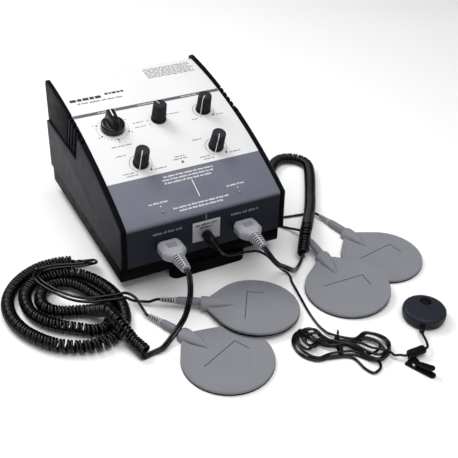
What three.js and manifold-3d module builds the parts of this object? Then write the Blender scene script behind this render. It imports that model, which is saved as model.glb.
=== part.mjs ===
// Desktop two-channel muscle stimulator with its leads, electrode pads and patient switch.
// Millimetres, +Z up. The console is drawn in its own frame: X to the right along the
// fascia, Y back from the fascia, Z up from the table. The finished group is then moved so
// that the origin is under the middle of the console, pads, switch and clip together.
import * as THREE from "three";
import { mergeVertices } from "three/addons/utils/BufferGeometryUtils.js";
import Module from "manifold-3d";

const wasm = await Module();
wasm.setup();

// ---- driving dimensions -------------------------------------------------------------
const GAP = 0.3;            // clearance between touching pieces
const BODY_W = 210;         // over the two cheeks
const BODY_D = 258;         // fascia to rear edge of the cheeks
const CHEEK_T = 7.5;        // thickness of a side cheek
const SKID_H = 15.5;        // height of the rubber skids under the base
const BASE_H = 23;          // height of the base pan
const FASCIA_TOP = 91;      // height of the fold between fascia and control panel
const PANEL_BACK = 253;     // depth of the control panel, front fold to rear edge
const PANEL_TOP = 158.5;    // height of the control panel at its rear edge
const PANEL_R = 585;        // radius of the gently arched control panel
const SHEET = 2;            // gauge of the folded cover
const FILM = 0.6;           // printed panel film
const SHAFT_R = 3;          // control shafts
const CONTROL_ROW_1 = 82;   // distance up the panel to the two intensity knobs
const CONTROL_ROW_2 = 144.5; // distance up the panel to the timer, mode and rate knobs
const CHANNEL_X = 48.5;     // half the distance between the two output channels
const SOCKET_Z = 59;        // height of the three sockets on the fascia
const PLUG_REACH = 50;      // length of a moulded output plug in front of the fascia
const PAD_R = 50;           // electrode pad radius
const PAD_T = 5;            // electrode pad thickness
const SWITCH_R = 24.8;      // patient switch radius
const SWITCH_H = 15;        // patient switch height
const TWIN_R = 2.7;         // plain tube that stands for the flat twin lead
const TAIL_R = 1.65;        // single electrode leads
const CURL_R = 6.6;         // outer radius of the curled lead
const SWITCH_CORD_R = 1.45; // patient switch cord

const BASE_TOP = SKID_H + BASE_H;
const COVER_W = BODY_W - 2 * CHEEK_T - 2 * GAP;

// ---- materials ----------------------------------------------------------------------
function plastic(color, roughness = 0.5, metalness = 0) {
  return new THREE.MeshStandardMaterial({ color, roughness, metalness });
}
const DARK_PAINT = plastic(0x23262f, 0.45);
const CHEEK_BLACK = plastic(0x2b2d33, 0.55);
const BASE_BLACK = plastic(0x16171b, 0.55);
const FILM_WHITE = plastic(0xf2f2f0, 0.35);
const RUBBER_BLACK = plastic(0x141416, 0.8);
const KNOB_BLACK = plastic(0x1b1d20, 0.4);
const STEEL = plastic(0xb9bcc0, 0.3, 0.9);
const BOARD_GREEN = plastic(0x1f5a3a, 0.5);
const IRON = plastic(0x55565a, 0.5, 0.6);
const POT_METAL = plastic(0x8e9196, 0.4, 0.8);
const LENS_RED = plastic(0x9a2a26, 0.15);
const PLATE_GREY = plastic(0xb8b9bd, 0.4);
const PLUG_GREY = plastic(0xc4c1c9, 0.45);
const CORD_BLACK = plastic(0x111216, 0.3);
const BOOT_GREY = plastic(0x8d8e98, 0.5);
const PAD_GREY = plastic(0x8f9097, 0.7);
const SWITCH_BLUE = plastic(0x2c323a, 0.5);
const CLIP_BLACK = plastic(0x17181b, 0.45);

// ---- solid helpers ------------------------------------------------------------------
function signedVolume(geometry) {
  const p = geometry.attributes.position;
  const index = geometry.index;
  const a = new THREE.Vector3();
  const b = new THREE.Vector3();
  const c = new THREE.Vector3();
  let volume = 0;
  for (let i = 0; i < index.count; i += 3) {
    a.fromBufferAttribute(p, index.getX(i));
    b.fromBufferAttribute(p, index.getX(i + 1));
    c.fromBufferAttribute(p, index.getX(i + 2));
    volume += a.dot(b.cross(c)) / 6;
  }
  return volume;
}

// Shared corners only, with the faces turned outwards.
function closed(geometry) {
  const bare = geometry.clone();
  for (const name of Object.keys(bare.attributes)) {
    if (name !== "position") bare.deleteAttribute(name);
  }
  const merged = mergeVertices(bare, 1e-4);
  if (signedVolume(merged) < 0) {
    const index = Array.from(merged.index.array);
    for (let i = 0; i < index.length; i += 3) {
      [index[i + 1], index[i + 2]] = [index[i + 2], index[i + 1]];
    }
    merged.setIndex(index);
  }
  return merged;
}

function toSolid(geometry) {
  const shell = closed(geometry);
  const vertProperties = new Float32Array(shell.attributes.position.array);
  const triVerts = new Uint32Array(shell.index.array);
  return new wasm.Manifold(new wasm.Mesh({ numProp: 3, vertProperties, triVerts }));
}

function toGeometry(solid) {
  const mesh = solid.getMesh();
  const geometry = new THREE.BufferGeometry();
  geometry.setAttribute("position", new THREE.BufferAttribute(mesh.vertProperties, 3));
  geometry.setIndex(new THREE.BufferAttribute(mesh.triVerts, 1));
  return geometry;
}

function join(...geometries) {
  return toGeometry(geometries.map(toSolid).reduce((sum, piece) => sum.add(piece)));
}

function cut(body, ...tools) {
  return toGeometry(tools.map(toSolid).reduce((left, tool) => left.subtract(tool), toSolid(body)));
}

// ---- shape helpers ------------------------------------------------------------------
function moved(geometry, x, y, z) {
  return geometry.translate(x, y, z);
}

function box(w, d, h, x, y, z) {
  return moved(new THREE.BoxGeometry(w, d, h), x, y, z + h / 2);
}

// Cylinder standing on z, or lying along X or Y.
function rod(r1, r2, length, x, y, z, axis = "z", sides = 24) {
  const geometry = new THREE.CylinderGeometry(r2, r1, length, sides);
  if (axis === "z") return moved(geometry.rotateX(Math.PI / 2), x, y, z + length / 2);
  if (axis === "y") return moved(geometry, x, y + length / 2, z);
  return moved(geometry.rotateZ(-Math.PI / 2), x + length / 2, y, z);
}

// Solid of revolution about Z from [radius, height] pairs that start and end on the axis.
function turned(profile, sides = 32) {
  const points = profile.map(([r, z]) => new THREE.Vector2(r, z));
  return new THREE.LatheGeometry(points, sides).rotateX(Math.PI / 2);
}

// Skin over rings of equal point count, closed by a fan at each end.
function loft(rings) {
  const n = rings[0].length;
  const points = rings.flat();
  const faces = [];
  for (let k = 0; k + 1 < rings.length; k += 1) {
    for (let i = 0; i < n; i += 1) {
      const j = (i + 1) % n;
      const a = k * n + i;
      const b = k * n + j;
      faces.push([a, b, b + n], [a, b + n, a + n]);
    }
  }
  const last = (rings.length - 1) * n;
  const ends = [[0, true], [last, false]];
  for (const [start, first] of ends) {
    const middle = new THREE.Vector3();
    for (let i = 0; i < n; i += 1) middle.addScaledVector(points[start + i], 1 / n);
    points.push(middle);
    const hub = points.length - 1;
    for (let i = 0; i < n; i += 1) {
      const a = start + i;
      const b = start + (i + 1) % n;
      faces.push(first ? [hub, b, a] : [hub, a, b]);
    }
  }
  const geometry = new THREE.BufferGeometry().setFromPoints(points);
  geometry.setIndex(faces.flat());
  return geometry;
}

// Profile in the Y-Z plane, extruded along X.
function alongX(profile, x1, x2) {
  const shape = new THREE.Shape(profile.map(([y, z]) => new THREE.Vector2(y, z)));
  const geometry = new THREE.ExtrudeGeometry(shape, { depth: x2 - x1, bevelEnabled: false });
  geometry.applyMatrix4(new THREE.Matrix4().set(0, 0, 1, 0, 1, 0, 0, 0, 0, 1, 0, 0, 0, 0, 0, 1));
  return moved(geometry, x1, 0, 0);
}

// Outline in the X-Y plane, extruded up from z1 to z2.
function standing(shape, z1, z2, segments = 8) {
  const options = { depth: z2 - z1, bevelEnabled: false, curveSegments: segments };
  return moved(new THREE.ExtrudeGeometry(shape, options), 0, 0, z1);
}

function polygon(radius, sides) {
  const points = [];
  for (let i = 0; i < sides; i += 1) {
    const t = (2 * Math.PI * i) / sides;
    points.push(new THREE.Vector2(radius * Math.cos(t), radius * Math.sin(t)));
  }
  return new THREE.Shape(points);
}

// Round tube through a list of [x, y, z] points.
function tube(route, radius, sides, steps) {
  const points = route.map(([x, y, z]) => new THREE.Vector3(x, y, z));
  const path = new THREE.CatmullRomCurve3(points, false, "centripetal");
  return new THREE.ExtrudeGeometry(polygon(radius, sides), { steps, extrudePath: path });
}

function piece(name, geometry, material) {
  const mesh = new THREE.Mesh(closed(geometry), material);
  mesh.name = name;
  return mesh;
}

function at(x, y, z, ...children) {
  const group = new THREE.Group();
  group.position.set(x, y, z);
  if (children.length) group.add(...children);
  return group;
}

// ---- the arched panel ---------------------------------------------------------------
const chord = Math.hypot(PANEL_BACK, PANEL_TOP - FASCIA_TOP);
const rise = Math.sqrt(PANEL_R ** 2 - (chord / 2) ** 2);
const ARC_Y = PANEL_BACK / 2 + ((PANEL_TOP - FASCIA_TOP) / chord) * rise;
const ARC_Z = (FASCIA_TOP + PANEL_TOP) / 2 - (PANEL_BACK / chord) * rise;
const ARC_START = Math.asin(-ARC_Y / PANEL_R);

// Point at a distance up the panel and a height above its surface, with the local slope.
function onPanel(distance, lift = 0) {
  const t = ARC_START + distance / PANEL_R;
  const r = PANEL_R + lift;
  return { y: ARC_Y + r * Math.sin(t), z: ARC_Z + r * Math.cos(t), slope: -t };
}

// Points along the panel between two distances, at one height above its surface.
function panelRun(from, to, lift, steps) {
  const run = [];
  for (let i = 0; i <= steps; i += 1) {
    const p = onPanel(from + ((to - from) * i) / steps, lift);
    run.push([p.y, p.z]);
  }
  return run;
}

const PANEL_LENGTH = PANEL_R * 2 * Math.asin(chord / 2 / PANEL_R);

// Group whose Z axis is the panel's normal at a control.
function onPanelGroup(x, distance, ...children) {
  const p = onPanel(distance);
  const group = at(x, p.y, p.z, ...children);
  group.rotation.x = p.slope;
  return group;
}

// ---- controls on the panel ----------------------------------------------------------
const CONTROLS = [
  { name: "timer", x: -59, up: CONTROL_ROW_2, knobR: 14.5, knobH: 21, turn: 0 },
  { name: "mode", x: 0, up: CONTROL_ROW_2, knobR: 9.5, knobH: 25, turn: 18 },
  { name: "rate", x: 60, up: CONTROL_ROW_2, knobR: 9.5, knobH: 25, turn: 128 },
  { name: "intensity_a", x: -CHANNEL_X, up: CONTROL_ROW_1, knobR: 9.5, knobH: 25, turn: 143 },
  { name: "intensity_b", x: CHANNEL_X, up: CONTROL_ROW_1, knobR: 9.5, knobH: 25, turn: 143 },
];
const BODY_NAMES = {
  timer: "timer_body",
  mode: "mode_switch_body",
  rate: "rate_pot",
  intensity_a: "intensity_pot_a",
  intensity_b: "intensity_pot_b",
};
const LAMPS = [
  { name: "pulse_lamp", x: 0, up: 71, r: 1.8 },
  { name: "pilot_lamp_a", x: -CHANNEL_X - 0.5, up: 12.2, r: 2.2 },
  { name: "pilot_lamp_b", x: CHANNEL_X, up: 12.8, r: 2.2 },
];
const BUSH_R = 4.6;
const KNOB_FLOOR = 1.2;     // space between the film and the underside of a knob

function panelHoles(lower, upper, clearance) {
  const holes = [];
  const drill = (x, up, r) => {
    const p = onPanel(up);
    const tool = rod(r, r, upper - lower, 0, 0, lower, "z", 20);
    tool.rotateX(p.slope);
    holes.push(moved(tool, x, p.y, p.z));
  };
  for (const c of CONTROLS) drill(c.x, c.up, BUSH_R + clearance);
  for (const l of LAMPS) drill(l.x, l.up, l.r + clearance);
  return holes;
}

function fasciaHoles() {
  const holes = [-CHANNEL_X, CHANNEL_X].map((x) => box(25, 12, 13, x, 0, SOCKET_Z - 6.5));
  holes.push(rod(5.3, 5.3, 12, 0, -6, SOCKET_Z, "y", 24));
  return holes;
}

function topCover() {
  const foldR = 5;
  const outer = [[0, BASE_TOP + GAP]];
  outer.push([0, FASCIA_TOP - foldR * 0.5], [0.6, FASCIA_TOP - foldR * 0.16]);
  outer.push(...panelRun(3.2, PANEL_LENGTH - 3, 0, 20));
  outer.push([PANEL_BACK - 0.6, PANEL_TOP - 1.2], [PANEL_BACK, PANEL_TOP - 3]);
  outer.push([PANEL_BACK, PANEL_TOP - 16]);
  const inner = [[PANEL_BACK - SHEET, PANEL_TOP - 16]];
  inner.push([PANEL_BACK - SHEET, PANEL_TOP - 3.6]);
  inner.push(...panelRun(PANEL_LENGTH - 5, 4.2, -SHEET, 20));
  inner.push([SHEET, FASCIA_TOP - foldR * 0.6], [SHEET, BASE_TOP + GAP]);
  const body = alongX([...outer, ...inner], -COVER_W / 2, COVER_W / 2);
  const cover = cut(body, ...panelHoles(-6, 6, GAP), ...fasciaHoles());
  return piece("top_cover", cover, DARK_PAINT);
}

function panelOverlay() {
  const top = panelRun(4, PANEL_LENGTH - 4.5, GAP + FILM, 20);
  const under = panelRun(PANEL_LENGTH - 4.5, 4, GAP, 20);
  const body = alongX([...top, ...under], -COVER_W / 2 + 0.4, COVER_W / 2 - 0.4);
  return piece("panel_overlay", cut(body, ...panelHoles(-6, 6, GAP)), FILM_WHITE);
}

// ---- side cheeks --------------------------------------------------------------------
const CHEEK_TOP_FRONT = 92.5;
const CHEEK_TOP_BACK = 163;
const CHEEK_R = 600;        // radius of the cheek's top edge
const CHAMFER = 3.6;
const VENT_FLOOR = 105;     // height of the recessed ventilation field's lower edge
const VENT_FRONT = 141;     // depth at which that lower edge starts
const VENT_LEAN = 0.36;     // sideways lean of the slots, as a rise over run

// Top edge of a cheek, front to back, lowered by the chamfer.
function cheekTop(drop, steps) {
  const back = BODY_D - 6;
  const dy = back;
  const dz = CHEEK_TOP_BACK - CHEEK_TOP_FRONT;
  const span = Math.hypot(dy, dz);
  const h = Math.sqrt(CHEEK_R ** 2 - (span / 2) ** 2);
  const cy = dy / 2 + (dz / span) * h;
  const cz = (CHEEK_TOP_FRONT + CHEEK_TOP_BACK) / 2 - (dy / span) * h;
  const t0 = Math.asin(-cy / CHEEK_R);
  const t1 = Math.asin((dy - cy) / CHEEK_R);
  const edge = [];
  for (let i = 0; i <= steps; i += 1) {
    const t = t0 + ((t1 - t0) * i) / steps;
    const r = CHEEK_R - drop;
    edge.push([Math.max(0, cy + r * Math.sin(t)), cz + r * Math.cos(t)]);
  }
  return edge;
}

function cheekOutline(drop) {
  const outline = [[0, BASE_TOP + GAP], ...cheekTop(drop, 16)];
  outline.push([BODY_D - 2, CHEEK_TOP_BACK - 2 - drop], [BODY_D, CHEEK_TOP_BACK - 6 - drop]);
  outline.push([BODY_D, BASE_TOP + GAP]);
  return outline;
}

function cheek(name, side) {
  const inside = BODY_W / 2 - CHEEK_T;
  const ring = (drop, x) => cheekOutline(drop).map(([y, z]) => new THREE.Vector3(side * x, y, z));
  const outside = BODY_W / 2;
  const shoulder = outside - CHAMFER;
  const slab = loft([ring(0, inside), ring(0, shoulder), ring(CHAMFER, outside)]);
  const lean = (z) => VENT_FRONT - (z - VENT_FLOOR) * VENT_LEAN;
  const high = CHEEK_TOP_BACK + 6;
  const field = [[VENT_FRONT, VENT_FLOOR], [lean(high), high], [BODY_D + 5, high],
    [BODY_D + 5, VENT_FLOOR]];
  const recess = alongX(field, outside - 2.8, outside + 2);
  if (side < 0) recess.scale(-1, 1, 1);
  const slots = [];
  for (let i = 0; i < 5; i += 1) {
    const y = VENT_FRONT + 2 + i * 9.8;
    const slot = [[y, VENT_FLOOR], [y + 4, VENT_FLOOR],
      [y + 4 - (high - VENT_FLOOR) * VENT_LEAN, high], [y - (high - VENT_FLOOR) * VENT_LEAN, high]];
    const tool = alongX(slot, inside - 1, outside + 1);
    if (side < 0) tool.scale(-1, 1, 1);
    slots.push(tool);
  }
  const notch = alongX([[119, 139], [123, 139], [121, 150], [117, 150]], inside - 1, outside + 1);
  if (side < 0) notch.scale(-1, 1, 1);
  return piece(name, cut(slab, recess, ...slots, notch), CHEEK_BLACK);
}

// ---- base, rear panel, skids --------------------------------------------------------
const BASE_INSET = 1.5;
const BASE_FRONT = 8.5;
const BASE_BACK = BODY_D - 2.5;
const FLOOR_Z = SKID_H + 2.2;

function basePan() {
  const w = BODY_W - 2 * BASE_INSET;
  const d = BASE_BACK - BASE_FRONT;
  const yMid = (BASE_FRONT + BASE_BACK) / 2;
  const shell = box(w, d, BASE_H, 0, yMid, SKID_H);
  const hollow = box(w - 5, d - 5, BASE_H, 0, yMid, FLOOR_Z);
  const posts = [];
  for (const x of [-8, 82]) {
    for (const y of [50, 230]) posts.push(rod(3.5, 3.5, 11, x, y, FLOOR_Z - 0.5, "z", 12));
  }
  const tray = cut(shell, hollow);
  return piece("base_pan", join(tray, ...posts), BASE_BLACK);
}

const INLET_X = 55;
const INLET_Z = 72;
const FUSE_X = 12;
const REAR_Y = PANEL_BACK + 0.8;
const REAR_T = 2;

function rearPanel() {
  const w = COVER_W;
  const plate = box(w, REAR_T, 112, 0, REAR_Y + REAR_T / 2, BASE_TOP + GAP);
  const holes = [box(28.6, 12, 20.6, INLET_X, REAR_Y, INLET_Z - 10.3)];
  holes.push(rod(6.3, 6.3, 12, FUSE_X, REAR_Y - 6, INLET_Z, "y", 24));
  for (let i = 0; i < 8; i += 1) holes.push(box(4, 12, 26, -75 + i * 9, REAR_Y, 100));
  return piece("rear_panel", cut(plate, ...holes), DARK_PAINT);
}

function skid(name, xMid, y1, y2, length) {
  const r = (y2 - y1) / 2;
  const shape = new THREE.Shape();
  shape.moveTo(xMid - length / 2 + r, y1);
  shape.lineTo(xMid + length / 2 - r, y1);
  shape.absarc(xMid + length / 2 - r, y1 + r, r, -Math.PI / 2, Math.PI / 2, false);
  shape.lineTo(xMid - length / 2 + r, y2);
  shape.absarc(xMid - length / 2 + r, y1 + r, r, Math.PI / 2, 1.5 * Math.PI, false);
  return piece(name, standing(shape, 0, SKID_H - GAP, 8), RUBBER_BLACK);
}

// ---- inside -------------------------------------------------------------------------
function mainBoard() {
  return piece("main_board", box(104, 196, 1.6, 37, 140, FLOOR_Z + 10.5 + GAP), BOARD_GREEN);
}

function transformer() {
  const core = box(56, 48, 46, -58, 196, FLOOR_Z + GAP);
  const coilFront = box(38, 74, 34, -58, 196, FLOOR_Z + GAP + 6);
  return piece("transformer", join(core, coilFront), IRON);
}

function control(c) {
  const big = c.name === "timer";
  const canR = big ? 17 : 12;
  const canH = big ? 22 : 14;
  const can = rod(canR, canR, canH, 0, 0, -SHEET - GAP - canH, "z", 24);
  const bush = rod(BUSH_R, BUSH_R, 4, 0, 0, -SHEET - GAP - 1, "z", 20);
  const body = cut(join(can, bush), rod(SHAFT_R + GAP, SHAFT_R + GAP, 12, 0, 0, -8, "z", 16));
  const shaftTop = c.knobH - 6;
  const shaft = rod(SHAFT_R, SHAFT_R, shaftTop + 7, 0, 0, -7, "z", 16);
  return onPanelGroup(
    c.x,
    c.up,
    piece(BODY_NAMES[c.name], body, POT_METAL),
    piece(`${c.name}_shaft`, shaft, STEEL),
    piece(`${c.name}_knob`, c.name === "timer" ? timerKnob(c) : smallKnob(c), KNOB_BLACK),
  );
}

function knobSocket(c) {
  const depth = c.knobH - 6 - KNOB_FLOOR - GAP * 2;
  const boreR = SHAFT_R + GAP;
  const bush = rod(BUSH_R + 1.2, BUSH_R + 1.2, 2.8, 0, 0, KNOB_FLOOR - 0.5, "z", 24);
  const bore = rod(boreR, boreR, depth + 2, 0, 0, KNOB_FLOOR - 0.5, "z", 16);
  return [bush, bore];
}

// Fluted knob with a short plain collar at the foot and a flat grey cap.
function smallKnob(c) {
  const z0 = KNOB_FLOOR;
  const profile = [[0, z0], [9.3, z0], [9.5, z0 + 2], [9.1, z0 + 4], [8.3, c.knobH - 0.8],
    [7.6, c.knobH], [0, c.knobH]];
  return cut(turned(profile, 32), ...knobSocket(c));
}

// Skirted knob with a raised bar across it.
function timerKnob(c) {
  const z0 = KNOB_FLOOR;
  const skirt = turned([[0, z0], [14, z0], [14.5, z0 + 1], [14.1, z0 + 6.5], [12.8, z0 + 8], [0, z0 + 8]], 40);
  const bar = box(8, 27, c.knobH - 5, 0, 0, 5);
  return cut(join(skirt, bar), ...knobSocket(c));
}

function lamp(l) {
  const lens = turned([[0, -5], [l.r, -5], [l.r, 1.1], [l.r * 0.7, 1.9], [0, 2.2]], 16);
  return onPanelGroup(l.x, l.up, piece(l.name, lens, LENS_RED));
}

// ---- sockets and plate on the fascia ------------------------------------------------
function jackPlate() {
  const plate = box(35, 1, 26.5, 0, -0.8, 52);
  return piece("jack_plate", cut(plate, rod(5.3, 5.3, 6, 0, -4, SOCKET_Z, "y", 24)), PLATE_GREY);
}

function patientJack() {
  const bush = rod(5, 5, 6, 0, -3.4, SOCKET_Z, "y", 24);
  const can = box(14, 22, 12, 0, 13.5, SOCKET_Z - 6);
  const bore = rod(3.5, 3.5, 24, 0, -5, SOCKET_Z, "y", 16);
  return piece("patient_jack", cut(join(bush, can), bore), KNOB_BLACK);
}

function outputSocket(name, x) {
  const block = box(24.4, 14, 12.4, x, 7.3, SOCKET_Z - 6.2);
  const holes = [-6, 6].map((dx) => rod(2.3, 2.3, 12, x + dx, -3, SOCKET_Z, "y", 16));
  return piece(name, cut(block, ...holes), KNOB_BLACK);
}

function mainsInlet() {
  const flange = box(48, 2, 27, INLET_X, REAR_Y + REAR_T + 1 + GAP, INLET_Z - 13.5);
  const shell = box(28, 22, 20, INLET_X, REAR_Y + REAR_T - 9, INLET_Z - 10);
  const cavity = box(24, 17, 16, INLET_X, REAR_Y + REAR_T - 4, INLET_Z - 8);
  const pins = [[-7, -2], [7, -2], [0, 3]].map(([dx, dz]) => (
    box(2, 13, 4, INLET_X + dx, REAR_Y + REAR_T - 9, INLET_Z + dz - 2)));
  const body = cut(join(flange, shell), cavity);
  return piece("mains_inlet", join(body, ...pins), BASE_BLACK);
}

function fuseCap() {
  const stem = rod(6, 6, 14, FUSE_X, REAR_Y - 10, INLET_Z, "y", 24);
  const head = rod(8, 7.4, 7, FUSE_X, REAR_Y + REAR_T + GAP, INLET_Z, "y", 28);
  const slot = box(1.4, 4, 12, FUSE_X, REAR_Y + REAR_T + GAP + 7, INLET_Z - 6);
  return piece("fuse_cap", cut(join(stem, head), slot), KNOB_BLACK);
}

// ---- plugs --------------------------------------------------------------------------
// Eight-sided section with chamfered corners, at one depth along a plug.
function plugRing(x, y, z, halfW, halfH, chamferW, chamferH) {
  const corners = [[-halfW + chamferW, halfH], [halfW - chamferW, halfH], [halfW, halfH - chamferH],
    [halfW, -halfH + chamferH], [halfW - chamferW, -halfH], [-halfW + chamferW, -halfH],
    [-halfW, -halfH + chamferH], [-halfW, halfH - chamferH]];
  return corners.map(([dx, dz]) => new THREE.Vector3(x + dx, y, z + dz));
}

function outputPlug(name, x) {
  const rings = [
    plugRing(x, -0.6, SOCKET_Z, 12.5, 7, 2.5, 2.5),
    plugRing(x, -4, SOCKET_Z, 14.7, 7.6, 4.6, 4),
    plugRing(x, -19, SOCKET_Z, 14.7, 7.6, 4.6, 4),
    plugRing(x, -27, SOCKET_Z, 7.6, 6.4, 2.6, 2.6),
    plugRing(x, -PLUG_REACH, SOCKET_Z, 5.4, 4.4, 2, 1.8),
  ];
  const prongs = [-6, 6].map((dx) => rod(1.9, 1.9, 9, x + dx, -2, SOCKET_Z, "y", 12));
  return piece(name, join(loft(rings), ...prongs), PLUG_GREY);
}

function switchPlug() {
  const barrel = rod(6, 6.2, 18, 0, -22, SOCKET_Z, "y", 24);
  const relief = rod(2.2, 4.2, 12, 0, -33, SOCKET_Z, "y", 16);
  const pin = rod(3.1, 3.1, 20, 0, -5, SOCKET_Z, "y", 16);
  return piece("switch_plug", join(barrel, relief, pin), KNOB_BLACK);
}

// ---- electrode pads and their connectors --------------------------------------------
// heading: direction from the pad's centre to its socket, in degrees from +X.
// A pad that lies on another one tilts: restsOn is that pad's centre.
const PADS = [
  { key: "a", x: 22, y: -85, heading: 151, restsOn: "b" },
  { key: "b", x: -43, y: -143.4, heading: 116.8, restsOn: null },
  { key: "c", x: 211.5, y: -64.2, heading: 102.7, restsOn: null },
  { key: "d", x: 137, y: -99.8, heading: 87.3, restsOn: "c" },
];
const SOCKET_OUT = 62.5;    // pad centre to the mouth of its socket
const SOCKET_IN = 25;       // pad centre to the tip of the socket's hump
const SOCKET_UP = 5.2;      // height of the pin above the pad's underside
const CONNECTOR_L = 47;

// Half-round section across the socket hump, at one distance from the pad's centre.
function humpRing(distance, halfW, top) {
  const foot = 0.7;
  const corners = [[-halfW, foot], [halfW, foot], [halfW, top * 0.45], [halfW * 0.72, top * 0.85],
    [halfW * 0.3, top], [-halfW * 0.3, top], [-halfW * 0.72, top * 0.85], [-halfW, top * 0.45]];
  return corners.map(([across, z]) => new THREE.Vector3(distance, across, z));
}

function padSolid() {
  const disc = turned([[0, 0], [PAD_R - 1, 0], [PAD_R, 1], [PAD_R, PAD_T - 1.2],
    [PAD_R - 1, PAD_T], [0, PAD_T]], 48);
  const hump = loft([humpRing(SOCKET_OUT, 8, 9.6), humpRing(SOCKET_OUT - 3, 8.8, 9.8),
    humpRing(PAD_R - 4, 7.6, 9.4), humpRing(SOCKET_IN + 8, 3.4, 7.4), humpRing(SOCKET_IN, 0.6, 5.2)]);
  const bore = rod(1.5, 1.5, 16, SOCKET_OUT - 13, 0, SOCKET_UP, "x", 12);
  return cut(join(disc, hump), bore);
}

function connectorSolid() {
  const start = SOCKET_OUT + GAP;
  const body = rod(4.4, 3.6, 27, start, 0, SOCKET_UP, "x", 16);
  const boot = rod(3.5, 2.4, 21, start + 26, 0, SOCKET_UP, "x", 16);
  const pin = rod(1.1, 1.1, 11, start - 10.5, 0, SOCKET_UP, "x", 12);
  return join(body, boot, pin);
}

function padGroup(pad) {
  const parts = at(
    0,
    0,
    0,
    piece(`pad_${pad.key}`, padSolid(), PAD_GREY),
    piece(`pin_connector_${pad.key}`, connectorSolid(), BOOT_GREY),
  );
  parts.rotation.z = THREE.MathUtils.degToRad(pad.heading);
  const flat = at(pad.x, pad.y, 0, parts);
  if (!pad.restsOn) return flat;
  const under = PADS.find((other) => other.key === pad.restsOn);
  const toward = new THREE.Vector3(under.x - pad.x, under.y - pad.y, 0);
  const reach = toward.length();
  toward.normalize();
  const tilt = Math.atan((PAD_T + 2 * GAP) / reach);
  const axis = new THREE.Vector3(-toward.y, toward.x, 0);
  const tilted = at(pad.x - toward.x * PAD_R, pad.y - toward.y * PAD_R, 0);
  tilted.quaternion.setFromAxisAngle(axis, -tilt);
  tilted.add(at(toward.x * PAD_R, toward.y * PAD_R, 0, parts));
  return tilted;
}

// ---- leads --------------------------------------------------------------------------
const TWIN_A = [[-48.5, -50.7, 59], [-48.6, -57, 58], [-51, -66, 52], [-54, -73, 43.5],
  [-58.5, -77, 30], [-64.5, -82, 19.5], [-71, -88.5, 14.8], [-80, -95.5, 12], [-92.5, -99.8, 6],
  [-105.5, -101, 3.2], [-117, -104.5, 3.2], [-124, -109.5, 3.2], [-128.5, -109, 3.4],
  [-127, -104.6, 4.8], [-123, -99.9, 6.8]];
const CURL_A = [[-122.4, -96.2, 7], [-125.6, -83, 9], [-130, -72, 16.5], [-133, -62, 21],
  [-135, -50, 21.4], [-137.5, -39, 20.6], [-142, -29, 15.4], [-147, -20, 10.2], [-154, -12.5, 7.4],
  [-165, -8, 7], [-178, -2.5, 7], [-188, 5.5, 7], [-193, 16, 7], [-193, 27, 7], [-188.5, 37.5, 7],
  [-177, 45.5, 7], [-164.5, 46, 7], [-153, 40, 7], [-144.5, 28.5, 7], [-138, 14, 7],
  [-131.5, -2, 7], [-128.4, -16, 7], [-130, -29, 7], [-134.4, -39.6, 7], [-143.5, -48.6, 7],
  [-156, -47, 7], [-170, -37, 7], [-187, -24, 7], [-200, -9, 7], [-208.5, 10, 7],
  [-209.5, 28, 7], [-206, 43.5, 7], [-197, 55.5, 7], [-184, 62.5, 7], [-169.7, 63.5, 7],
  [-153, 60, 7], [-138, 51, 7], [-126, 34.5, 7], [-117.6, 14, 7], [-113.8, -9, 7],
  [-115, -28, 7], [-120, -45, 7], [-131, -60, 7], [-144, -67.5, 7], [-158, -69.5, 7],
  [-172, -67, 7], [-187, -60, 7], [-200.5, -50, 7], [-213, -35, 7], [-224, -15, 7],
  [-230, 8, 7], [-229.5, 30, 7], [-223, 49, 7], [-210, 66, 7], [-194, 77.5, 7],
  [-176, 84.5, 7], [-158, 85, 7], [-145, 82, 7], [-134, 77, 7]];
const TAIL_A1 = [[-132.7, 74.2, 7], [-126, 71.4, 7.2], [-119.5, 67, 9.5], [-120, 60.5, 13],
  [-128, 59.5, 15.6], [-141, 63, 15.8], [-155, 68, 15.8], [-170, 71, 15.8], [-183, 69, 15.8],
  [-190, 60, 15.8], [-188.5, 46, 15.8], [-182, 30, 15.8], [-170, 9, 15.8], [-158, -4, 15.8],
  [-146.5, -10.5, 15.8], [-131, -15, 15.8], [-118.5, -18, 15.8], [-109.5, -18.5, 15.2],
  [-103, -18, 10.8], [-97, -18, 6.4], [-90, -19.8, 4.6], [-83, -25.5, 6.2], [-75.2, -30, 10.2]];
const TAIL_A2 = [[-131.3, 77.9, 7], [-123.5, 76, 7.2], [-114.5, 70, 9.5], [-114.5, 60, 13],
  [-123, 54.5, 15.7], [-136, 56, 15.8], [-150, 61, 15.8], [-166, 65, 15.8], [-178, 64, 15.8],
  [-184.5, 57, 15.8], [-183.5, 46, 15.8], [-177, 31, 15.8], [-166, 13, 15.8], [-154, 1, 15.8],
  [-142, -4.5, 15.8], [-128, -8, 15.8], [-114.5, -10.5, 15.8], [-107, -11.4, 15.4],
  [-101, -13, 14], [-96.8, -19, 11.6], [-95, -28.5, 7.6], [-94, -37, 5.4], [-93.8, -44.3, 5.2]];
const TWIN_B = [[48.5, -50.7, 59], [48.5, -54, 58.8], [49.6, -59.5, 56], [53.5, -64, 49], [62, -63.5, 38],
  [73, -58, 27.5], [83, -54.5, 18.5], [92, -50, 10.5], [100, -44, 5.5], [108.5, -37, 4.4],
  [116.5, -30, 6.2]];
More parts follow.
